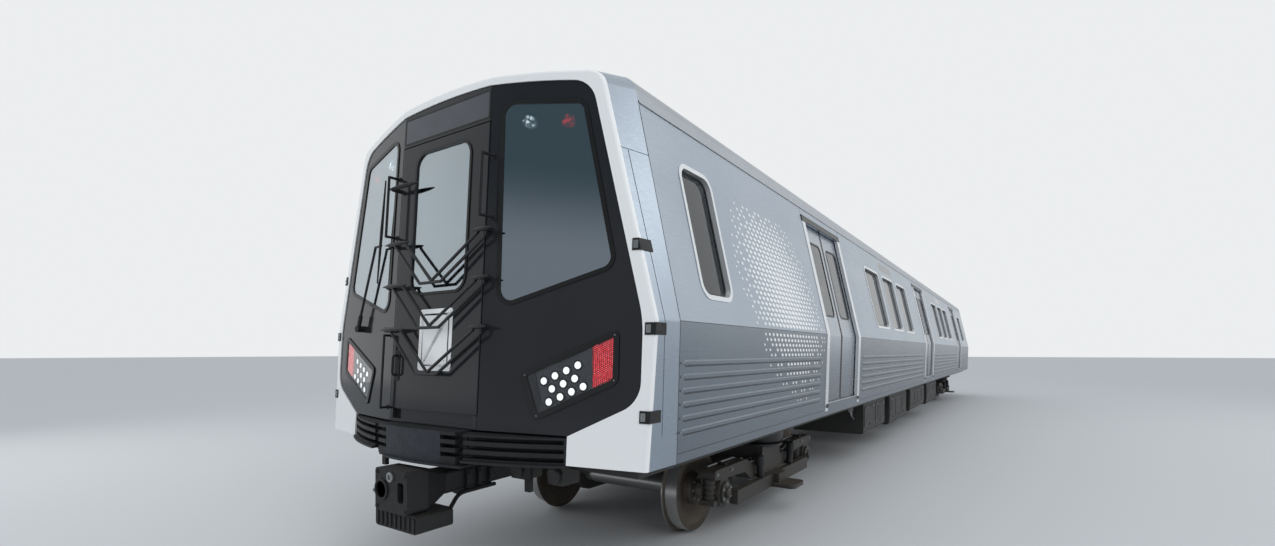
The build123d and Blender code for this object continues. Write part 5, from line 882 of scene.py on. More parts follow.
def panel_joints_and_flute_shadows(side, width):
    """Sealant along one side: at belt and sill, up the jambs and the cab's joint; and dark strips of it under
    the flutes, which are painted shadow of the flutes.
    """
    place = on_side(side)
    jambs = [centre + way * JAMB_HALF for centre in DOOR_CENTRES.values() for way in SIDES]
    ends = [WALL_FORE_X, *jambs, REAR_X]
    lines = [((x, DOOR_TOP_Z), (x, GUTTER_Z)) for x in jambs]
    for low, high in ((SILL_Z, BELT_Z), (BELT_Z, GUTTER_Z)):
        lines.append(((WALL_FORE_X, low), (WALL_FORE_X, high)))
    joints = []
    for fore, aft in zip(ends[0::2], ends[1::2]):
        lines.append(((fore, SILL_Z + 0.055), (aft, SILL_Z + 0.055)))
        joints.append(strip((fore, BELT_Z), (aft, BELT_Z), width, place, -MM, 0.8 * MM))
    # painted shadow: a dark strip of sealant under each flute, where the flute's shade falls
    for fore, aft in FLUTE_BAYS:
        for level in FLUTE_LEVELS:
            under = level - FLUTE_HALF_HEIGHT - width / 2
            lines.append(((fore - FLUTE_HALF_HEIGHT, under), (aft + FLUTE_HALF_HEIGHT, under)))
    return joints + [strip(start, end, width, place, *THIN) for start, end in lines]


def weld_studs(side, pitch):
    """Weld spots along the sill and under the gutter of one side, and at the ends of its flutes."""
    place, studs = on_side(side), []
    for step in range(round((WALL_FORE_X - REAR_X) / pitch)):
        for height in (SILL_Z + 0.028, GUTTER_Z - 0.014):
            at = place(REAR_X + pitch * (step + 0.5), height, -0.2 * MM)
            studs.append(stud(at, (0, side, 0), 4.5 * MM, 1.2 * MM))
    for fore, aft in FLUTE_BAYS:
        for level in FLUTE_LEVELS:
            for x in (fore + 0.022, aft - 0.022):
                studs.append(stud(place(x, level, FLUTE_PROUD - 0.5 * MM), (0, side, 0), 7 * MM, 3 * MM))
    return studs


def door_threshold(side, centre):
    """A ribbed tread plate in a doorway."""
    edge, top = side_half(FLOOR_Z), FLOOR_Z + 3 * MM
    start = (centre - THRESHOLD_HALF, side * (edge - 0.029), FLOOR_Z)
    shapes = [block(start, (centre + THRESHOLD_HALF, side * (edge + 0.006), top))]
    for rib in range(40):
        x = centre - 0.6 + 0.03 * (rib + 0.5)
        ends = [(x, side * (edge - out), top) for out in (0.026, -0.003)]
        shapes.append(rod(*ends, 1.5 * MM, 6))
    return shapes


class METRO_OT_side_trim(bpy.types.Operator):
    """Makes the joints, painted flute shadows, gaskets, studs and thresholds of the side walls"""

    bl_idname = "metro.side_trim"
    bl_label = "Side trim"

    def execute(self, context):
        trim = context.scene.metro_trim
        seams, gaskets, studs, thresholds, foot_blocks = [], [], [], [], []
        for side in SIDES:
            place = on_side(side)
            seams += panel_joints_and_flute_shadows(side, trim.seam_width)
            studs += weld_studs(side, trim.stud_pitch)
            for centre, width, low, high in SIDE_WINDOWS:
                middle = (centre, (low + high) / 2)
                outer = rounded(middle, width - 0.020, high - low - 0.020, WINDOW_RADIUS - 0.010)
                gaskets.append(band(outer, inset(outer, trim.gasket_width), place, -0.036, -0.030))
            for centre in DOOR_CENTRES.values():
                thresholds += door_threshold(side, centre)
                for x in (centre + 0.66, centre - 0.66):
                    start = place(x - 0.030, SILL_Z + 0.075, 0.0)
                    foot_blocks.append(block(start, place(x + 0.030, SILL_Z + 0.110, 0.014)))
        make_piece("panel_joint_sealant_and_flute_shadows", seams, "polyurethane_sealant_tooled")
        make_piece("side_window_gaskets", gaskets, "epdm_rubber_extruded", bevel_mm=1.0)
        make_piece("side_panel_studs", studs, "zinc_plated_steel", smooth=True)
        make_piece("threshold_plates", thresholds, "anodised_aluminium_extruded")
        make_piece("door_foot_blocks", foot_blocks, "natural_rubber_moulded", bevel_mm=3.0)
        return {"FINISHED"}


def film_oval(x, height, tall, long):
    """Outline of one oval, leaning forwards at its top."""
    outline = []
    for step in range(14):
        angle = 2 * math.pi * step / 14
        up = tall / 2 * math.sin(angle)
        outline.append((x + long / 2 * math.cos(angle) + 0.5 * up, height + up))
    return outline


def film_field(pitch, tallest):
    """Outlines of the ovals: leaning columns that clear the flutes, and thin out and shrink to the rim."""
    ovals = []
    for row in range(-26, 18):
        height = FLUTE_TOP_Z + FLUTE_PITCH / 2 * (row + 13)
        up = height - FILM_MIDDLE[1]
        on_flute = min(abs(height - level) for level in FLUTE_LEVELS) <= 0.035
        if abs(up) > FILM_HALF_HEIGHT or on_flute or abs(height - BELT_Z) < 0.012:
            continue
        for column in range(-12, 13):
            along = pitch * (column + row % 4 / 4)
            away = (along / FILM_HALF_LENGTH) ** 2 + (up / FILM_HALF_HEIGHT) ** 2
            if away > 1 or (away > 0.55 and (row * 7 + column * 5) % 3 == 0):
                continue
            tall = tallest * (1.0 - 0.5 * away)
            if height < BELT_Z:
                tall = min(tall, OVAL_LOW_TALL)
            x = FILM_MIDDLE[0] + FILM_LEAN * up + along
            ovals.append(film_oval(x, height, tall, tall * (2.1 - 0.9 * away)))
    return ovals


class METRO_OT_film_dots(bpy.types.Operator):
    """Makes the white film dots between the cab window and the first door"""

    bl_idname = "metro.film_dots"
    bl_label = "Film dots"

    def execute(self, context):
        trim = context.scene.metro_trim
        for side_name, side in SIDE_NAMES.items():
            dots = [plate(oval, on_side(side), *THIN) for oval in film_field(trim.dot_pitch, trim.dot_height)]
            make_piece(f"film_dots_{side_name}", dots, "vinyl_film_white_cut")
        return {"FINISHED"}


class METRO_OT_door_trim(bpy.types.Operator):
    """Makes the gaskets and edge rubbers of the sliding leaves, each on its own leaf"""

    bl_idname = "metro.door_trim"
    bl_label = "Door trim"

    def execute(self, context):
        for door, centre in DOOR_CENTRES.items():
            for side_name, side in SIDE_NAMES.items():
                for leaf, way in LEAF_WAYS.items():
                    self.dress_leaf(f"{door}_{side_name}_{leaf}", centre, on_side(side), way)
        return {"FINISHED"}

    def dress_leaf(self, name, centre, place, way):
        """Makes one leaf's two pieces."""
        width, low, high, radius = LEAF_GLASS
        middle = (centre + way * LEAF_GLASS_OFFSET, (low + high) / 2)
        outer = rounded(middle, width + 0.030, high - low + 0.030, radius + 0.015)
        inner = rounded(middle, width - 0.010, high - low - 0.010, radius - 0.005)
        rings = [band(outer, inner, place, *depths) for depths in ((-0.0405, -0.0350), (-0.0750, -0.0500))]
        edge, foot, head = centre + way * 0.003, FLOOR_Z + 0.012, DOOR_TOP_Z + 0.015
        nose = sorted((edge - way * 2.4 * MM, edge + way * MM))
        lip = sorted((edge, edge + way * 0.020))
        bars = []
        for (start, end), depths in ((nose, (-0.070, -0.036)), (lip, (-0.0380, -0.0352))):
            for bottom, top in ((foot, BELT_Z), (BELT_Z, head)):
                bars.append(plate(oblong((start, bottom), (end, top)), place, *depths))
        body = f"door_{name}"
        make_piece(f"leaf_gaskets_{name}", rings, "epdm_rubber_extruded", body, 0.8)
        make_piece(f"leaf_edge_rubbers_{name}", bars, "epdm_rubber_extruded", body)


def blank_plate():
    """The white frame and centre of the plate on the end door, and the screws that hold it."""
    outline = rounded((0.010, 1.634), 0.330, 0.400, 0.020)
    rim = band(outline, inset(outline, 0.030), on_face, -MM, 0.8 * MM)
    centre = plate(inset(outline, 0.042), on_face, -MM, 0.8 * MM)
    places = [(0.010 + across, 1.634 + up) for across in (-0.100, 0.100) for up in (-0.135, 0.135)]
    return [rim, centre], [stud(on_face(*place, 0.6 * MM), face_out(), 5 * MM, 2 * MM) for place in places]


def end_door_handle():
    """The pull, the latch plate and the lock of the cab end door."""
    across, grip_line = -0.375, ((1.400, -MM), (1.400, 0.040), (1.530, 0.040), (1.530, -MM))
    lock = ((0, 0.016), (0.008, 0.016), (0.010, 0.012))
    return [
        pipe([on_face(across, up, out) for up, out in grip_line], 0.008, 0.02),
        plate(rounded((across, 1.465), 0.052, 0.210, 0.020), on_face, -MM, 4 * MM),
        turned(on_face(across, 1.520, 0.0), face_out(), lock, 20),
    ]


def bracket_plates(side):
    """The bolted feet of the three corner brackets on one side of the mask's rim."""
    shapes = []
    for level in (2.133, 1.678, 1.213):
        across = side * (side_half(level) - 0.047)
        patch = rounded((across, level), 0.026, 0.044, 0.004, 2)
        shapes.append(plate(patch, on_face, MASK_RECESS + 3 * MM, MASK_RECESS + 8 * MM))
        shapes += bolt(on_face(across, level, MASK_RECESS + 7 * MM), face_out(side), 0.007, 0.006)
    return shapes


class METRO_OT_cab_trim(bpy.types.Operator):
    """Makes the joints, seals, blank plate and handle of the cab face"""

    bl_idname = "metro.cab_trim"
    bl_label = "Cab trim"

    def execute(self, context):
        joints = []
        for across in (0.4385, -0.4385):
            for low, high in ((1.092, 1.168), (2.980, 3.176)):
                joints.append(strip((across, low), (across, high), 0.006, on_face, -2 * MM, 0.4 * MM))
        sign = rounded((0, 3.084), 0.860, 0.184, 0.010)
        joints.append(band(sign, inset(sign, 0.012), on_face, -MM, 1.5 * MM))
        make_piece("mask_joint_sealant", joints, "epdm_rubber_extruded")

        opening = rounded((0, 2.073), 0.884, 1.804, 0.004, 1)
        seal = band(opening, inset(opening, 0.0072), on_face, -0.030, -0.012)
        make_piece("end_door_seal", [seal], "epdm_rubber_extruded")

        door, (blank, screws) = "cab_end_door", blank_plate()
        make_piece("front_blank_plate", blank, "vinyl_film_white_cut", door)
        make_piece("front_plate_screws", screws, "zinc_plated_steel", door, smooth=True)
        handle = end_door_handle()
        make_piece("end_door_handle", handle, "powder_coat_black", door, bevel_mm=0.8)
        irons = [shape for side in SIDES for shape in bracket_plates(side)]
        make_piece("corner_bracket_plates", irons, "zinc_plated_steel", bevel_mm=0.8)
        return {"FINISHED"}


def lamp_bezels(side):
    """The shade of one lamp cluster and the ring around each of its headlamps."""
    shapes = [plate(flipped(LAMP_SHADE, side), on_face, -2.5 * MM, -0.5 * MM)]
    for row, (count, shift) in enumerate(LAMP_ROWS):
        for step in range(count):
            across, up = (
                first + pitch * (step + shift) + row_pitch * row
                for first, pitch, row_pitch in zip(LAMP_START, LAMP_STEP, LAMP_ROW_STEP)
            )
            outer, inner = (
                rounded((side * across, up), 2 * radius, 2 * radius, radius, 5)
                for radius in (LAMP_RADIUS + BEZEL_WIDTH, LAMP_RADIUS)
            )
            shapes.append(band(outer, inner, on_face, 0.2 * MM, 1.9 * MM))
    return shapes


def tail_lamp_cells(side):
    """The domes that fill one red tail lamp, in staggered columns."""
    red, cells = inset(flipped(TAIL_LAMP, side), 0.007), []
    for column in range(CELL_COLUMNS):
        for row in range(CELL_ROWS):
            across = side * (CELL_START[0] + CELL_PITCH * column)
            up = CELL_START[1] + CELL_PITCH * (row + column % 2 / 2)
            if inside((across, up), red):
                cells.append(stud(on_face(across, up, -2.2 * MM), face_out(side), 4.2 * MM, 2.2 * MM))
    return cells


class METRO_OT_lamp_trim(bpy.types.Operator):
    """Makes the frames, clear covers, screws and red cells of the lamp clusters"""

    bl_idname = "metro.lamp_trim"
    bl_label = "Lamp trim"

    def execute(self, context):
        frames, covers, cells, screws, bezels = [], [], [], [], []
        for side in SIDES:
            outline = eased(flipped(CLUSTER, side), 0.030)
            frames.append(band(inset(outline, -0.012), inset(outline, 0.020), on_face, -2 * MM, 9 * MM))
            covers.append(plate(inset(outline, 0.019), on_face, 2.2 * MM, 5 * MM))
            for place in inset(flipped(CLUSTER, side), 0.012):
                screws.append(stud(on_face(*place, 8.8 * MM), face_out(side), 5 * MM, 1.5 * MM))
            bezels += lamp_bezels(side)
            cells += tail_lamp_cells(side)
        make_piece("lamp_frames", frames, "abs_black_moulded", bevel_mm=2.0)
        make_piece("lamp_bezels", bezels, "abs_black_moulded")
        make_piece("lamp_covers", covers, "polycarbonate_clear_moulded")
        make_piece("lamp_frame_screws", screws, "zinc_plated_steel", smooth=True)
        make_piece("tail_lamp_cells", cells, "polycarbonate_cell_red_lit", smooth=True)
        return {"FINISHED"}


def coupler_fittings(end):
    """The face bolts, cone ring, contact ribs, collars and air pipes of one coupler."""
    face_x, along, parts = end * COUPLER_FACE_X, (end, 0, 0), []
    sunk_x = face_x - end * MM
    for across in (-0.140, 0.140):
        for up in (-0.105, 0.105):
            parts += bolt((sunk_x, across, COUPLER_Z + up), along, 0.011, 0.010)
    ring = ((0, 0.066), (0.010, 0.066), (0.012, 0.060), (0.012, 0.052), (0.0, 0.051))
    parts.append(turned((sunk_x, -end * 0.092, COUPLER_Z), along, ring, 28))
    for rib in range(9):
        across = -0.180 + 0.045 * rib
        start = (face_x - end * 0.034, across - 0.008, COUPLER_Z - 0.230)
        parts.append(block(start, (face_x - end * 0.026, across + 0.008, COUPLER_Z - 0.145)))
    for station in (0.520, 0.620, 0.720):
        collar = ((0, 0.115), (0.030, 0.115))
        parts.append(turned((end * (COUPLER_FACE_X - station), 0, COUPLER_Z), along, collar, 24))
    for side in SIDES:
        corners = [(0.75, 0.095, -0.080), (0.42, 0.110, -0.080), (0.30, 0.170, -0.150)]
        points = [(face_x - end * back, side * across, COUPLER_Z + up) for back, across, up in corners]
        parts.append(pipe(points, 0.014))
    return parts


def coupler_bright_fittings(end):
    """The air nozzle and the release pull of one coupler."""
    face_x = end * COUPLER_FACE_X
    nozzle = ((0, 0.030), (0.012, 0.030), (0.014, 0.016), (0.004, 0.014))
    pull = [(-0.12, -0.155, -0.030), (-0.12, -0.250, -0.030), (-0.05, -0.265, -0.040)]
    points = [(face_x + end * out, end * across, COUPLER_Z + up) for out, across, up in pull]
    air = turned((face_x - end * MM, 0, COUPLER_Z + 0.085), (end, 0, 0), nozzle, 22)
    return [air, pipe(points, 0.010, 0.03)]


def jumper_socket(x, y, z, direction, radius):
    """The round cap of a jumper socket."""
    return turned((x, y, z), direction, ((0, radius), (0.022, radius), (0.026, radius - 0.006)), 24)


class METRO_OT_front_gear(bpy.types.Operator):
    """Makes the fittings of the couplers and those under the front anticlimber"""

    bl_idname = "metro.front_gear"
    bl_label = "Coupler and front fittings"

    def execute(self, context):
        for name, end in END_NAMES.items():
            parts, bright, body = coupler_fittings(end), coupler_bright_fittings(end), f"coupler_{name}"
            make_piece(f"coupler_fittings_{name}", parts, "cast_iron_painted", body, 1.5)
            make_piece(
                f"coupler_bright_fittings_{name}", bright, "zinc_plated_steel", body, 0.8
            )

        bolts, sockets, irons = [], [], []
        for side in SIDES:
            for level in (0.955, 1.000, 1.045):
                across = side * 0.4145
                x = NOSE_TIP_X - 0.060 - NOSE_RADIUS + math.sqrt(NOSE_RADIUS**2 - across**2)
                bolts += bolt((x, across, level), (1, 0, 0), 0.010, 0.010)
            for y in (side * 0.560, side * 0.860):
                start = (CORNER_X - 0.130, y - 0.062, 0.772)
                sockets.append(block(start, (CORNER_X + 0.020, y + 0.062, 0.900)))
                sockets.append(jumper_socket(CORNER_X + 0.019, y, 0.835, (1, 0, -0.25), 0.048))
            irons.append(rod((CORNER_X + 0.12, side * 0.385, 0.874), (CORNER_X + 0.12, 0.0, 0.874), 0.009))
            y = side * 0.720
            irons.append(block((CORNER_X + 0.080, y - 0.022, 0.730), (CORNER_X + 0.110, y + 0.022, 0.915)))
            irons.append(pipe([(CORNER_X - 0.2, side * across, 0.83) for across in (0.45, 0.95)], 0.016))
        make_piece("anticlimber_bolts", bolts, "enamel_dark_grey_steel", bevel_mm=0.8)
        make_piece("jumper_sockets", sockets, "enamel_underframe_dusty", bevel_mm=4.0)
        make_piece("front_step_irons", irons, "powder_coat_black", bevel_mm=2.0)
        return {"FINISHED"}


def bolt_circle(middle, side, radius, count, first=0.0):
    """Bolts in a circle on a face that looks across the car."""
    heads = []
    for turn in range(count):
        angle = 2 * math.pi / count * (turn + first)
        at = (middle[0] + radius * math.cos(angle), middle[1], middle[2] + radius * math.sin(angle))
        heads += bolt(at, (0, side, 0), 0.010, 0.012)
    return heads


def axle_box_bolts(axle_x, side):
    """The bolts of one axle box: six on its cover, and two on the frame above it."""
    heads = bolt_circle((axle_x, side * (FRAME_OUTER_Y + 0.021), AXLE_Z), side, 0.072, 6, 0.5)
    for along in (-0.145, 0.145):
        heads += bolt((axle_x + along, side * FRAME_OUTER_Y, 0.555), (0, side, 0), 0.012, 0.014)
    return heads


def damper(x, side, way):
    """An upright damper beside the bogie frame, leaning, with an eye at each end."""
    body = ((0, 0.020), (0.015, 0.034), (0.110, 0.034), (0.112, 0.042), (0.200, 0.042), (0.215, 0.020))
    shapes = [turned((x, side * 1.120, 0.400), (way * 0.2, 0, 1), body, 18)]
    for height, offset in ((0.405, 0.0), (0.605, 0.040)):
        eye_x = x + way * offset
        shapes.append(rod((eye_x, side * 1.060, height), (eye_x, side * 1.150, height), 0.016))
    return shapes


def motor_covers(x, y):
    """The three bands of one motor and the lid on its top."""
    ring = ((0, 0.206), (0.024, 0.206))
    bands = [turned((x, y + step, AXLE_Z), (0, 1, 0), ring, 32) for step in (-0.20, 0.0, 0.20)]
    return [*bands, block((x - 0.070, y - 0.110, AXLE_Z + 0.150), (x + 0.070, y + 0.110, AXLE_Z + 0.235))]


class METRO_OT_bogie_fittings(bpy.types.Operator):
    """Makes the bolts, dampers and pipes of the bogies and the bolts of the wheels"""

    bl_idname = "metro.bogie_fittings"
    bl_label = "Bogie fittings"

    def execute(self, context):
        cap = ((0, 0.042), (0.020, 0.042), (0.028, 0.030), (0.030, 0.012))
        line = [(-1.20, 0.600), (-0.66, 0.600), (-0.50, 0.530), (0.50, 0.530), (0.66, 0.600), (1.20, 0.600)]
        for name, middle in BOGIE_X.items():
            bolts, dampers, pipes, boxes = [], [], [], []
            for side in SIDES:
                for way in SIDES:
                    axle_x = middle + way * AXLE_OFFSET
                    bolts += axle_box_bolts(axle_x, side)
                    cover_y = side * (FRAME_OUTER_Y + 0.021)
                    boxes.append(turned((axle_x, cover_y, AXLE_Z), (0, side, 0), cap, 24))
                    dampers += damper(middle + way * 0.400, side, way)
                pipes.append(pipe([(middle + along, side * 0.960, z) for along, z in line], 0.010))
                pipes.append(pipe([(middle + along, side * 1.030, z) for along, z in line[1:-1]], 0.007))
                for station, height in ((-1.0, 0.590), (-0.35, 0.520), (0.35, 0.520), (1.0, 0.590)):
                    x, y = middle + station, side * 0.995
                    start = (x - 0.014, y - 0.050, height)
                    boxes.append(block(start, (x + 0.014, y + 0.050, height + 0.024)))
            for way in SIDES:
                boxes += motor_covers(middle + way * 0.560, way * 0.170)
            body = f"bogie_{name}"
            make_piece(f"bogie_bolts_{name}", bolts, "zinc_plated_steel", body)
            make_piece(
                f"bogie_dampers_{name}", dampers, "powder_coat_black", body, bevel_mm=1.0
            )
            make_piece(
                f"bogie_air_pipes_{name}", pipes, "zinc_plated_steel", body, smooth=True
            )
            make_piece(f"bogie_covers_{name}", boxes, "enamel_bogie_dusty", body, bevel_mm=2.0)
            for axle, way in AXLE_WAYS.items():
                heads = []
                for side in SIDES:
                    hub = (middle + way * AXLE_OFFSET, side * WHEEL_OUTER_Y, AXLE_Z)
                    heads += bolt_circle(hub, side, 0.095, 8)
                body = f"wheelset_{name}_{axle}"
                make_piece(f"wheel_bolts_{name}_{axle}", heads, "zinc_plated_steel", body)
        return {"FINISHED"}


def lid_louvres(x, side, face, top, half_length):
    """The five slats of one lid."""
    near, far = side * (face + 0.004), side * (face + 0.015)
    tops = [top - 0.060 - 0.036 * slat for slat in range(5)]
    return [block((x - half_length, near, z), (x + half_length, far, z + 0.014)) for z in tops]


def lid_hardware(x, side, face, low, top, pitch):
    """The two hinges and four bolts of one lid."""
    shapes = []
    for offset in (-0.3, 0.3):
        at = (x + pitch * offset - 0.030, side * (face + 0.012), top - 0.006)
        shapes.append(rod(at, (at[0] + 0.060, at[1], at[2]), 0.009))
        for z in (low + 0.020, top - 0.030):
            shapes += bolt((x + pitch * offset * 1.3, side * (face + 0.007), z), (0, side, 0), 0.007, 0.007)
    return shapes


def tank_outlet(end, across):
    """The pipe from one end of an air tank up to the underframe."""
    x = TANK_X + end * TANK_HALF_LENGTH
    outer = x + end * 0.10
    return pipe([(x - end * 0.02, across, 0.700), (outer, across, 0.700), (outer, across, 0.850)], 0.014)


class METRO_OT_underfloor(bpy.types.Operator):
    """Makes the louvres, hinges, pipes and conduits under the floor"""

    bl_idname = "metro.underfloor"
    bl_label = "Underfloor fittings"

    def execute(self, context):
        louvres, hinges, pipes, clips = [], [], [], []
        for middle, length, outer, low, lids in EQUIPMENT:
            side, face = math.copysign(1, outer), abs(outer)
            pitch, top = (length - 0.040) / lids, BOX_TOP_Z - 0.070
            for lid in range(lids):
                x = middle + pitch * (lid - (lids - 1) / 2)
                hinges += lid_hardware(x, side, face, low + 0.090, top, pitch)
                if lid % 2 == 0:
                    louvres += lid_louvres(x, side, face, top, pitch * 0.28)
        for across, height, radius in TRAIN_PIPES:
            pipes.append(rod((-PIPE_END_X, across, height), (PIPE_END_X, across, height), radius))
        for step in range(CLIP_COUNT):
            x = CLIP_START_X + CLIP_PITCH * step
            clips.append(block((x - 0.020, -0.215, 0.848), (x + 0.020, 0.165, 0.862)))
            for across, height, radius in TRAIN_PIPES:
                hoop = ((0, radius + 0.005), (0.036, radius + 0.005))
                clips.append(turned((x - 0.018, across, height), (1, 0, 0), hoop, 14))
        for across in TANK_PLACES:
            for end in SIDES:
                pipes.append(tank_outlet(end, across))
                for offset in (0.35, 0.52):
                    at = (TANK_X + end * offset, across, TANK_Z)
                    clips.append(turned(at, (1, 0, 0), ((0, 0.194), (0.030, 0.194)), 36))
            drain = ((0, 0.016), (0.030, 0.016), (0.032, 0.024), (0.046, 0.024))
            hinges.append(turned((TANK_X, across, 0.455), (0, 0, -1), drain))
        for x, side in CONDUITS:
            y = side * 1.20
            pipes.append(pipe([(x, y, 0.88), (x, y, 0.70), (x - 0.16, y, 0.62)], 0.016))
        make_piece("box_louvres", louvres, "enamel_underframe_dusty", bevel_mm=2.0)
        make_piece("box_hinges_and_bolts", hinges, "zinc_plated_steel")
        make_piece("train_pipes", pipes, "zinc_plated_steel", smooth=True)
        make_piece(
            "pipe_clips_and_tank_bands", clips, "enamel_underframe_dusty", bevel_mm=1.0
        )
        return {"FINISHED"}


def roof_strap(x, half_width, reach, high):
    """A strap across the roof, laid in pieces short enough to follow its curve."""
    starts = [-reach + STRAP_STEP * step for step in range(round(2 * reach / STRAP_STEP))]
    outlines = [oblong((x - half_width, near), (x + half_width, near + STRAP_STEP)) for near in starts]
    return [plate(outline, on_roof, -MM, high) for outline in outlines]


class METRO_OT_roof_fittings(bpy.types.Operator):
    """Makes the joints, flanges, screws, aerials and vents of the roof"""

    bl_idname = "metro.roof_fittings"
    bl_label = "Roof fittings"

    def execute(self, context):
        seams = [shape for station in ROOF_JOINTS for shape in roof_strap(station, 0.02, 1.10, 2 * MM)]
        flanges, screws, vents = [], [], []
        for centre in HVAC_MIDDLES:
            for side in SIDES:
                inner, outer = side * HVAC_HALF_WIDTH, side * (HVAC_HALF_WIDTH + 0.033)
                outline = oblong((centre - HVAC_HALF_LENGTH, inner), (centre + HVAC_HALF_LENGTH, outer))
                flanges.append(plate(outline, on_roof, -MM, 6 * MM))
                flanges += roof_strap(centre + side * 1.315, 0.015, 0.8, 6 * MM)
                for step in range(18):
                    at = on_roof(centre - 1.275 + 0.15 * step, side * (HVAC_HALF_WIDTH + 0.016), 5.5 * MM)
                    screws.append(stud(at, (0, 0, 1), 8 * MM, 4 * MM))
        foot, shoulder, crown = ((0, 0.110), (0.012, 0.112)), ((0.014, 0.070), (0.030, 0.066)), (0.046, 0.048)
        dome = (*foot, *shoulder, crown, (0.056, 0.022), (0.058, 0.004))
        for station in (9.7, -10.2):
            vents.append(turned(on_roof(station, 0.0, -2 * MM), (0, 0, 1), dome, 32))
        cowl = ((0, 0.080), (0.020, 0.080), (0.022, 0.105), (0.034, 0.105), (0.044, 0.070), (0.046, 0.004))
        for station in (8.6, 1.8, -1.8, -8.6):
            for side in SIDES:
                vents.append(turned(on_roof(station, side * 0.45, -2 * MM), (0, 0, 1), cowl, 28))
        make_piece("roof_joint_straps", seams, "stainless_sheet_brushed_roof")
        make_piece("hvac_flanges", flanges, "stainless_sheet_brushed_roof")
        make_piece("hvac_screws", screws, "zinc_plated_steel", smooth=True)
        make_piece("roof_aerials_and_vents", vents, "abs_grey_moulded", bevel_mm=1.0)
        return {"FINISHED"}


def rear_handhold(across, low, high):
    """A bent handhold on the rear wall, with a round foot at each end."""
    line = [(low, -MM), (low, 0.060), (high, 0.060), (high, -MM)]
    shapes = [pipe([on_rear(across, up, out) for up, out in line], 0.011, 0.03)]
    for up in (low, high):
        shapes.append(turned(on_rear(across, up, -MM), (-1, 0, 0), ((0, 0.026), (0.006, 0.026)), 16))
    return shapes


class METRO_OT_rear_fittings(bpy.types.Operator):
    """Makes the gaskets, handholds, joints and latch of the rear end"""

    bl_idname = "metro.rear_fittings"
    bl_label = "Rear fittings"

    def execute(self, context):
        gaskets, joints, holds, sockets = [], [], [], []
        for side in SIDES:
            middle = (side * 0.880, (WINDOW_LOW_Z + WINDOW_HIGH_Z) / 2)
            outer = rounded(middle, 0.460, 0.800, 0.080)
            gaskets.append(band(outer, inset(outer, 0.016), on_rear, -0.022, -0.016))
            for start, end in (((0.560, 1.100), (0.560, 3.180)), ((0.560, BELT_Z), (1.540, BELT_Z))):
                joints.append(strip(*flipped((start, end), side), 0.005, on_rear, *THIN))
            for low, high in ((1.250, 1.850), (2.150, 2.700)):
                holds += rear_handhold(side * 0.525, low, high)
            y = side * 0.700
            sockets.append(block((REAR_FACE_X, y - 0.070, 0.760), (REAR_X + 0.10, y + 0.070, 0.905)))
            sockets.append(jumper_socket(REAR_FACE_X + MM, y, 0.835, (-1, 0, 0), 0.050))
        make_piece("rear_window_gaskets", gaskets, "epdm_rubber_extruded", bevel_mm=1.0)
        make_piece("rear_joint_sealant", joints, "polyurethane_sealant_tooled")
        make_piece("rear_handholds", holds, "powder_coat_black", smooth=True)
        make_piece(
            "rear_jumper_sockets", sockets, "enamel_underframe_dusty", bevel_mm=4.0
        )
        low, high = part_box("rear_end_door")
        place, across = on_end(low.x, -1), -0.350
        line = [(1.860, -MM), (1.860, 0.034), (1.960, 0.034), (1.960, -MM)]
        latch = plate(rounded((across, 1.900), 0.052, 0.180, 0.020), place, -MM, 4 * MM)
        parts = [latch, pipe([place(across, up, out) for up, out in line], 0.008, 0.02)]
        make_piece(
            "rear_door_handle", parts, "powder_coat_black", "rear_end_door", bevel_mm=0.8
        )
        return {"FINISHED"}


def desk_controls():
    """The two rows of buttons on the driver's desk, and the lever with its knob."""
    button = ((-0.010, 0.013), (0.010, 0.013), (0.014, 0.010))
    shapes = []
    for row in range(2):
        for column in range(7):
            at = (CORNER_X - 0.500 + 0.06 * row, -1.230 + 0.045 * column, FLOOR_Z + 0.825 + 0.014 * row)
            shapes.append(turned(at, (-0.23, 0, 1), button, 14))
    x, y, z = CORNER_X - 0.480, -0.650, FLOOR_Z + 0.810
    lever = ((0, 0.045), (0.030, 0.040), (0.032, 0.012), (0.110, 0.011))
    shapes.append(turned((x, y, z), (0, 0, 1), lever, 20))
    knob = ((0, 0.010), (0.012, 0.024), (0.036, 0.026), (0.048, 0.012))
    shapes.append(turned((x, y, z + 0.105), (0, 0, 1), knob, 20))
    return shapes


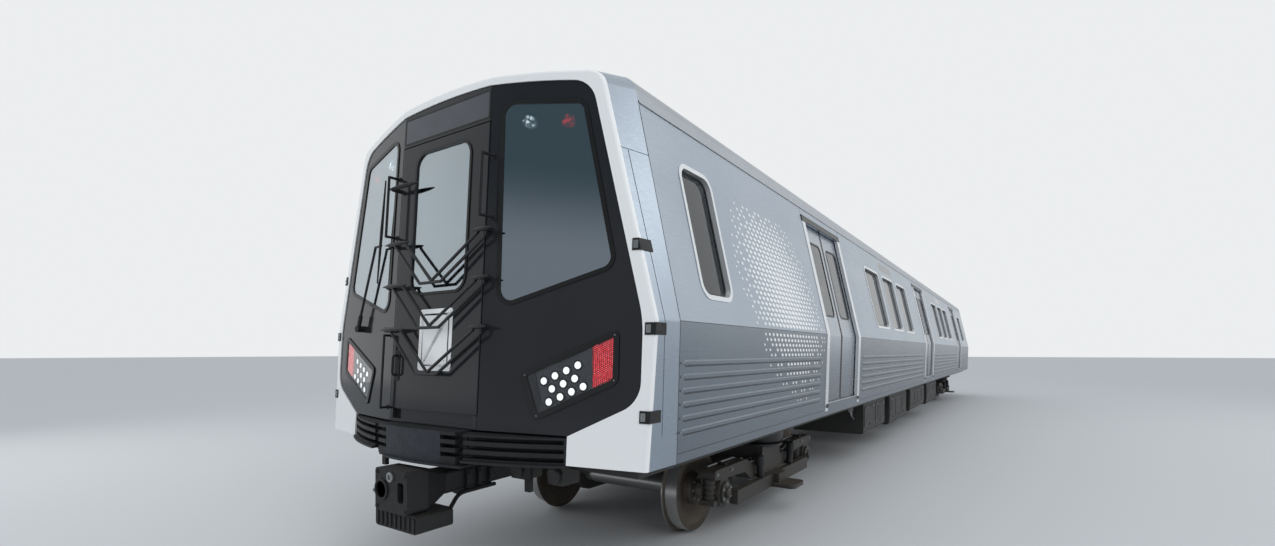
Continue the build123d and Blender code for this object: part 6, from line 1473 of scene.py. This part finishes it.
class METRO_OT_interior(bpy.types.Operator):
    """Makes the ceiling, lights, door-gear covers and cab console"""

    bl_idname = "metro.interior"
    bl_label = "Interior"

    def execute(self, context):
        ceiling, lights, covers, console, screens = [], [], [], [], []
        for step in range(10):
            start = -10.98 + 2.035 * step
            ceiling.append(block((start, -1.02, 3.078), (start + 2.025, 1.02, 3.090)))
            for side in SIDES:
                lights.append(block((start + 0.02, side * 0.80, 3.056), (start + 2.005, side * 0.94, 3.079)))
        wall = side_half(2.95) - 0.112
        for centre in DOOR_CENTRES.values():
            for side in SIDES:
                start = (centre - 1.25, side * wall, 2.905)
                covers.append(block(start, (centre + 1.25, side * (wall - 0.150), 3.070)))
        top_z, hood_x = FLOOR_Z + 0.930, CORNER_X - 0.345
        for y in (-1.150, -0.925, -0.700):
            start = (hood_x - 0.010, y - 0.095, top_z - 0.045)
            console.append(block(start, (hood_x + 0.020, y + 0.095, top_z + 0.085)))
            start = (hood_x - 0.0125, y - 0.080, top_z - 0.030)
            screens.append(block(start, (hood_x - 0.009, y + 0.080, top_z + 0.070)))
        make_piece("ceiling_panels", ceiling, "laminate_cream_pressed", bevel_mm=2.0)
        make_piece("saloon_lights", lights, "polycarbonate_diffuser_lit", bevel_mm=6.0)
        make_piece("door_gear_covers", covers, "laminate_cream_pressed", bevel_mm=12.0)
        make_piece("console_housings", console, "abs_black_moulded", bevel_mm=5.0)
        make_piece("console_screens", screens, "acrylic_smoked_cast", bevel_mm=1.0)
        make_piece("console_controls", desk_controls(), "abs_grey_moulded", bevel_mm=1.0)
        return {"FINISHED"}


def stuffed_pad(name, middle, size, cap):
    """A foam pad blown up by cloth pressure from a rounded block a little smaller than it, without seams."""
    form = bmesh.new()
    bmesh.ops.create_cube(form, size=1.0)
    bmesh.ops.scale(form, vec=[length - 2 * cap for length in size], verts=form.verts)
    bmesh.ops.translate(form, vec=middle, verts=form.verts)
    mesh = bpy.data.meshes.new(name)
    form.to_mesh(mesh)
    form.free()
    pad = bpy.data.objects.new(name, mesh)
    bpy.context.scene.collection.objects.link(pad)
    bpy.context.view_layer.objects.active = pad
    bevel = pad.modifiers.new("rounding", "BEVEL")
    bevel.width, bevel.segments = 0.022, 4
    remesh = pad.modifiers.new("even_mesh", "REMESH")
    remesh.mode, remesh.voxel_size = "VOXEL", 0.008
    bpy.ops.object.select_all(action="DESELECT")
    pad.select_set(True)
    for modifier in ("rounding", "even_mesh"):
        bpy.ops.object.modifier_apply(modifier=modifier)
    before = [vertex.co.copy() for vertex in pad.data.vertices]
    cloth = pad.modifiers.new("stuffing", "CLOTH")
    cloth.settings.use_pressure = True
    cloth.settings.uniform_pressure_force = 4.0
    cloth.settings.effector_weights.gravity = 0.0
    cloth.point_cache.frame_end = 20
    for number in range(1, 21):
        bpy.context.scene.frame_set(number)
    bpy.ops.object.modifier_apply(modifier="stuffing")
    bpy.context.scene.frame_set(1)
    for vertex, start in zip(pad.data.vertices, before):
        moved = vertex.co - start
        if moved.length > cap:
            vertex.co = start + moved.normalized() * cap
    pad.data.shade_smooth()
    smooth = pad.modifiers.new("fine_skin", "SUBSURF")
    smooth.levels = smooth.render_levels = 1
    pad.data.materials.append(finish("wool_moquette_woven"))
    return pad


class METRO_OT_driver_seat(bpy.types.Operator):
    """Makes the driver's seat: two stuffed pads with piping, their shells and the pedestal"""

    bl_idname = "metro.driver_seat"
    bl_label = "Driver's seat"

    def execute(self, context):
        seat_x, seat_y = CORNER_X - 1.050, -0.900
        cushion_at, back_at = (seat_x, seat_y, FLOOR_Z + 0.450), (seat_x - 0.235, seat_y, FLOOR_Z + 0.790)
        cushion = stuffed_pad("driver_cushion", cushion_at, (0.470, 0.480, 0.110), 0.014)
        backrest = stuffed_pad("driver_backrest", back_at, (0.100, 0.460, 0.640), 0.014)
        for pad in (cushion, backrest):
            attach(pad, "root")
        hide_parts("driver_seat")
        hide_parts("driver_seat")

        on_back = on_end(back_at[0], 1)
        around = rounded((seat_y, back_at[2]), 0.420, 0.600, 0.060)
        seam = rounded((seat_x, seat_y), 0.430, 0.440, 0.050)
        welts = [
            pipe([on_back(y, z, 0.030) for y, z in (*around, around[0])], 0.0045, 0.01, 8),
            pipe([(x, y, cushion_at[2] + 0.038) for x, y in (*seam, seam[0])], 0.0045, 0.01, 8),
        ]
        make_piece("driver_seat_piping", welts, "natural_rubber_moulded", smooth=True)

        shells = [
            plate(rounded((seat_x, seat_y), 0.440, 0.450, 0.050), on_level, FLOOR_Z + 0.380, FLOOR_Z + 0.404),
            plate(rounded((seat_y, back_at[2]), 0.430, 0.600, 0.060), on_back, -0.052, -0.036),
        ]
        for y in (seat_y + 0.19, seat_y - 0.19):
            line = ((-0.20, 0.39), (-0.285, 0.42), (-0.285, 0.75))
            shells.append(pipe([(seat_x + along, y, FLOOR_Z + up) for along, up in line], 0.012))
        make_piece("driver_seat_shells", shells, "abs_black_moulded", bevel_mm=6.0)
        foot, sleeve = ((0, 0.190), (0.016, 0.190), (0.022, 0.176)), ((0.024, 0.066), (0.200, 0.062))
        stem, head = ((0.202, 0.050), (0.380, 0.050)), ((0.382, 0.110), (0.392, 0.110))
        pedestal = [turned((seat_x, seat_y, FLOOR_Z), (0, 0, 1), (*foot, *sleeve, *stem, *head), 36)]
        make_piece("driver_seat_pedestal", pedestal, "powder_coat_black", bevel_mm=2.0)
        return {"FINISHED"}


def studio_world(settings):
    """The room: an even light on the car, the backdrop to the camera, and a darker side ahead of the cab to
    surfaces that mirror it."""
    world = bpy.data.worlds.new("studio_world")
    world.use_nodes = True
    tree = world.node_tree
    tree.nodes.clear()
    direction = add_node(tree, "ShaderNodeTexCoord", output="Generated")
    towards = {0: direction, 1: FLAG_DIRECTION}
    ahead = add_node(tree, "ShaderNodeVectorMath", {"operation": "DOT_PRODUCT"}, towards, output="Value")
    rise = add_node(tree, "ShaderNodeSeparateXYZ", inputs={"Vector": direction}, output="Z")
    soft = {"interpolation_type": "SMOOTHSTEP"}
    share = add_node(tree, "ShaderNodeMapRange", soft, {"Value": ahead, "From Min": 0.45, "From Max": 0.85})
    high = add_node(tree, "ShaderNodeMapRange", soft, {"Value": rise, "From Min": 0.27, "From Max": 0.41})
    tones = {0: high, 6: tuple(settings.flag_low_colour), 7: tuple(settings.flag_colour)}
    flag = add_node(tree, "ShaderNodeMix", RGBA, tones, output=2)
    tones = {0: share, 6: tuple(settings.backdrop_colour), 7: flag}
    mirrored = add_node(tree, "ShaderNodeMix", RGBA, tones, output=2)
    seen_colour = {"Color": tuple(settings.backdrop_colour), "Strength": 1.0}
    lit = add_node(tree, "ShaderNodeBackground", inputs={"Color": linear("#dfe4ea"), "Strength": 0.85})
    glossy = add_node(tree, "ShaderNodeBackground", inputs={"Color": mirrored, "Strength": 1.0})
    seen = add_node(tree, "ShaderNodeBackground", inputs=seen_colour)
    path = tree.nodes.new("ShaderNodeLightPath")
    rays = {0: path.outputs["Is Glossy Ray"], 1: path.outputs["Is Transmission Ray"]}
    through = add_node(tree, "ShaderNodeMath", {"operation": "MAXIMUM"}, rays)
    mixed = add_node(tree, "ShaderNodeMixShader", inputs={0: through, 1: lit, 2: glossy})
    ends = {0: path.outputs["Is Camera Ray"], 1: mixed, 2: seen}
    mixed = add_node(tree, "ShaderNodeMixShader", inputs=ends)
    add_node(tree, "ShaderNodeOutputWorld", inputs={"Surface": mixed})
    return world


class METRO_OT_stage(bpy.types.Operator):
    """Makes the floor, the lights, the world and the camera"""

    bl_idname = "metro.stage"
    bl_label = "Stage"

    def execute(self, context):
        settings = context.scene.metro_stage
        bpy.ops.mesh.primitive_plane_add(size=400.0)
        floor = context.object
        floor.name = "stage_floor"
        material, tree, _ = open_material("painted_studio_floor")
        close_material(material, tree, {"Base Color": tuple(settings.floor_colour), "Roughness": 0.9})
        floor.data.materials.append(material)
        context.scene.world = studio_world(settings)

        for name, (place, size, power, aim, mirrored) in SOFTBOXES.items():
            light = bpy.data.lights.new(name, "AREA")
            light.size, light.energy = size, power
            lamp = bpy.data.objects.new(name, light)
            lamp.location = place
            lamp.visible_glossy = mirrored
            lamp.rotation_euler = (Vector(aim) - Vector(place)).to_track_quat("-Z", "Y").to_euler()
            context.scene.collection.objects.link(lamp)

        camera = bpy.data.objects.new("camera", bpy.data.cameras.new("camera"))
        context.scene.collection.objects.link(camera)
        camera.location = settings.eye
        camera.rotation_euler = (math.pi / 2, 0.0, settings.heading)
        camera.data.sensor_width = 36.0
        camera.data.lens = settings.lens
        camera.data.shift_x, camera.data.shift_y = CAMERA_SHIFT
        context.scene.camera = camera
        context.scene.view_settings.view_transform = "Standard"
        return {"FINISHED"}


class METRO_PT_car(bpy.types.Panel):
    """Lists the car's operators"""

    bl_label = "Metro car"
    bl_idname = "METRO_PT_car"
    bl_space_type = "VIEW_3D"
    bl_region_type = "UI"
    bl_category = "Metro car"

    def draw(self, context):
        for operator in OPERATORS:
            self.layout.operator(operator.bl_idname)


OPERATORS = (
    METRO_OT_finishes,
    METRO_OT_side_trim,
    METRO_OT_film_dots,
    METRO_OT_door_trim,
    METRO_OT_cab_trim,
    METRO_OT_lamp_trim,
    METRO_OT_front_gear,
    METRO_OT_bogie_fittings,
    METRO_OT_underfloor,
    METRO_OT_roof_fittings,
    METRO_OT_rear_fittings,
    METRO_OT_interior,
    METRO_OT_driver_seat,
    METRO_OT_stage,
)
CLASSES = (METRO_PG_trim, METRO_PG_stage, *OPERATORS, METRO_PT_car)


def register():
    for cls in CLASSES:
        bpy.utils.register_class(cls)
    bpy.types.Scene.metro_trim = bpy.props.PointerProperty(type=METRO_PG_trim)
    bpy.types.Scene.metro_stage = bpy.props.PointerProperty(type=METRO_PG_stage)


def unregister():
    del bpy.types.Scene.metro_stage
    del bpy.types.Scene.metro_trim
    for cls in reversed(CLASSES):
        bpy.utils.unregister_class(cls)


def main():
    """Registers the add-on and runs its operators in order."""
    register()
    bpy.ops.metro.finishes()
    bpy.ops.metro.side_trim()
    bpy.ops.metro.film_dots()
    bpy.ops.metro.door_trim()
    bpy.ops.metro.cab_trim()
    bpy.ops.metro.lamp_trim()
    bpy.ops.metro.front_gear()
    bpy.ops.metro.bogie_fittings()
    bpy.ops.metro.underfloor()
    bpy.ops.metro.roof_fittings()
    bpy.ops.metro.rear_fittings()
    bpy.ops.metro.interior()
    bpy.ops.metro.driver_seat()
    bpy.ops.metro.stage()


if __name__ == "__main__":
    main()
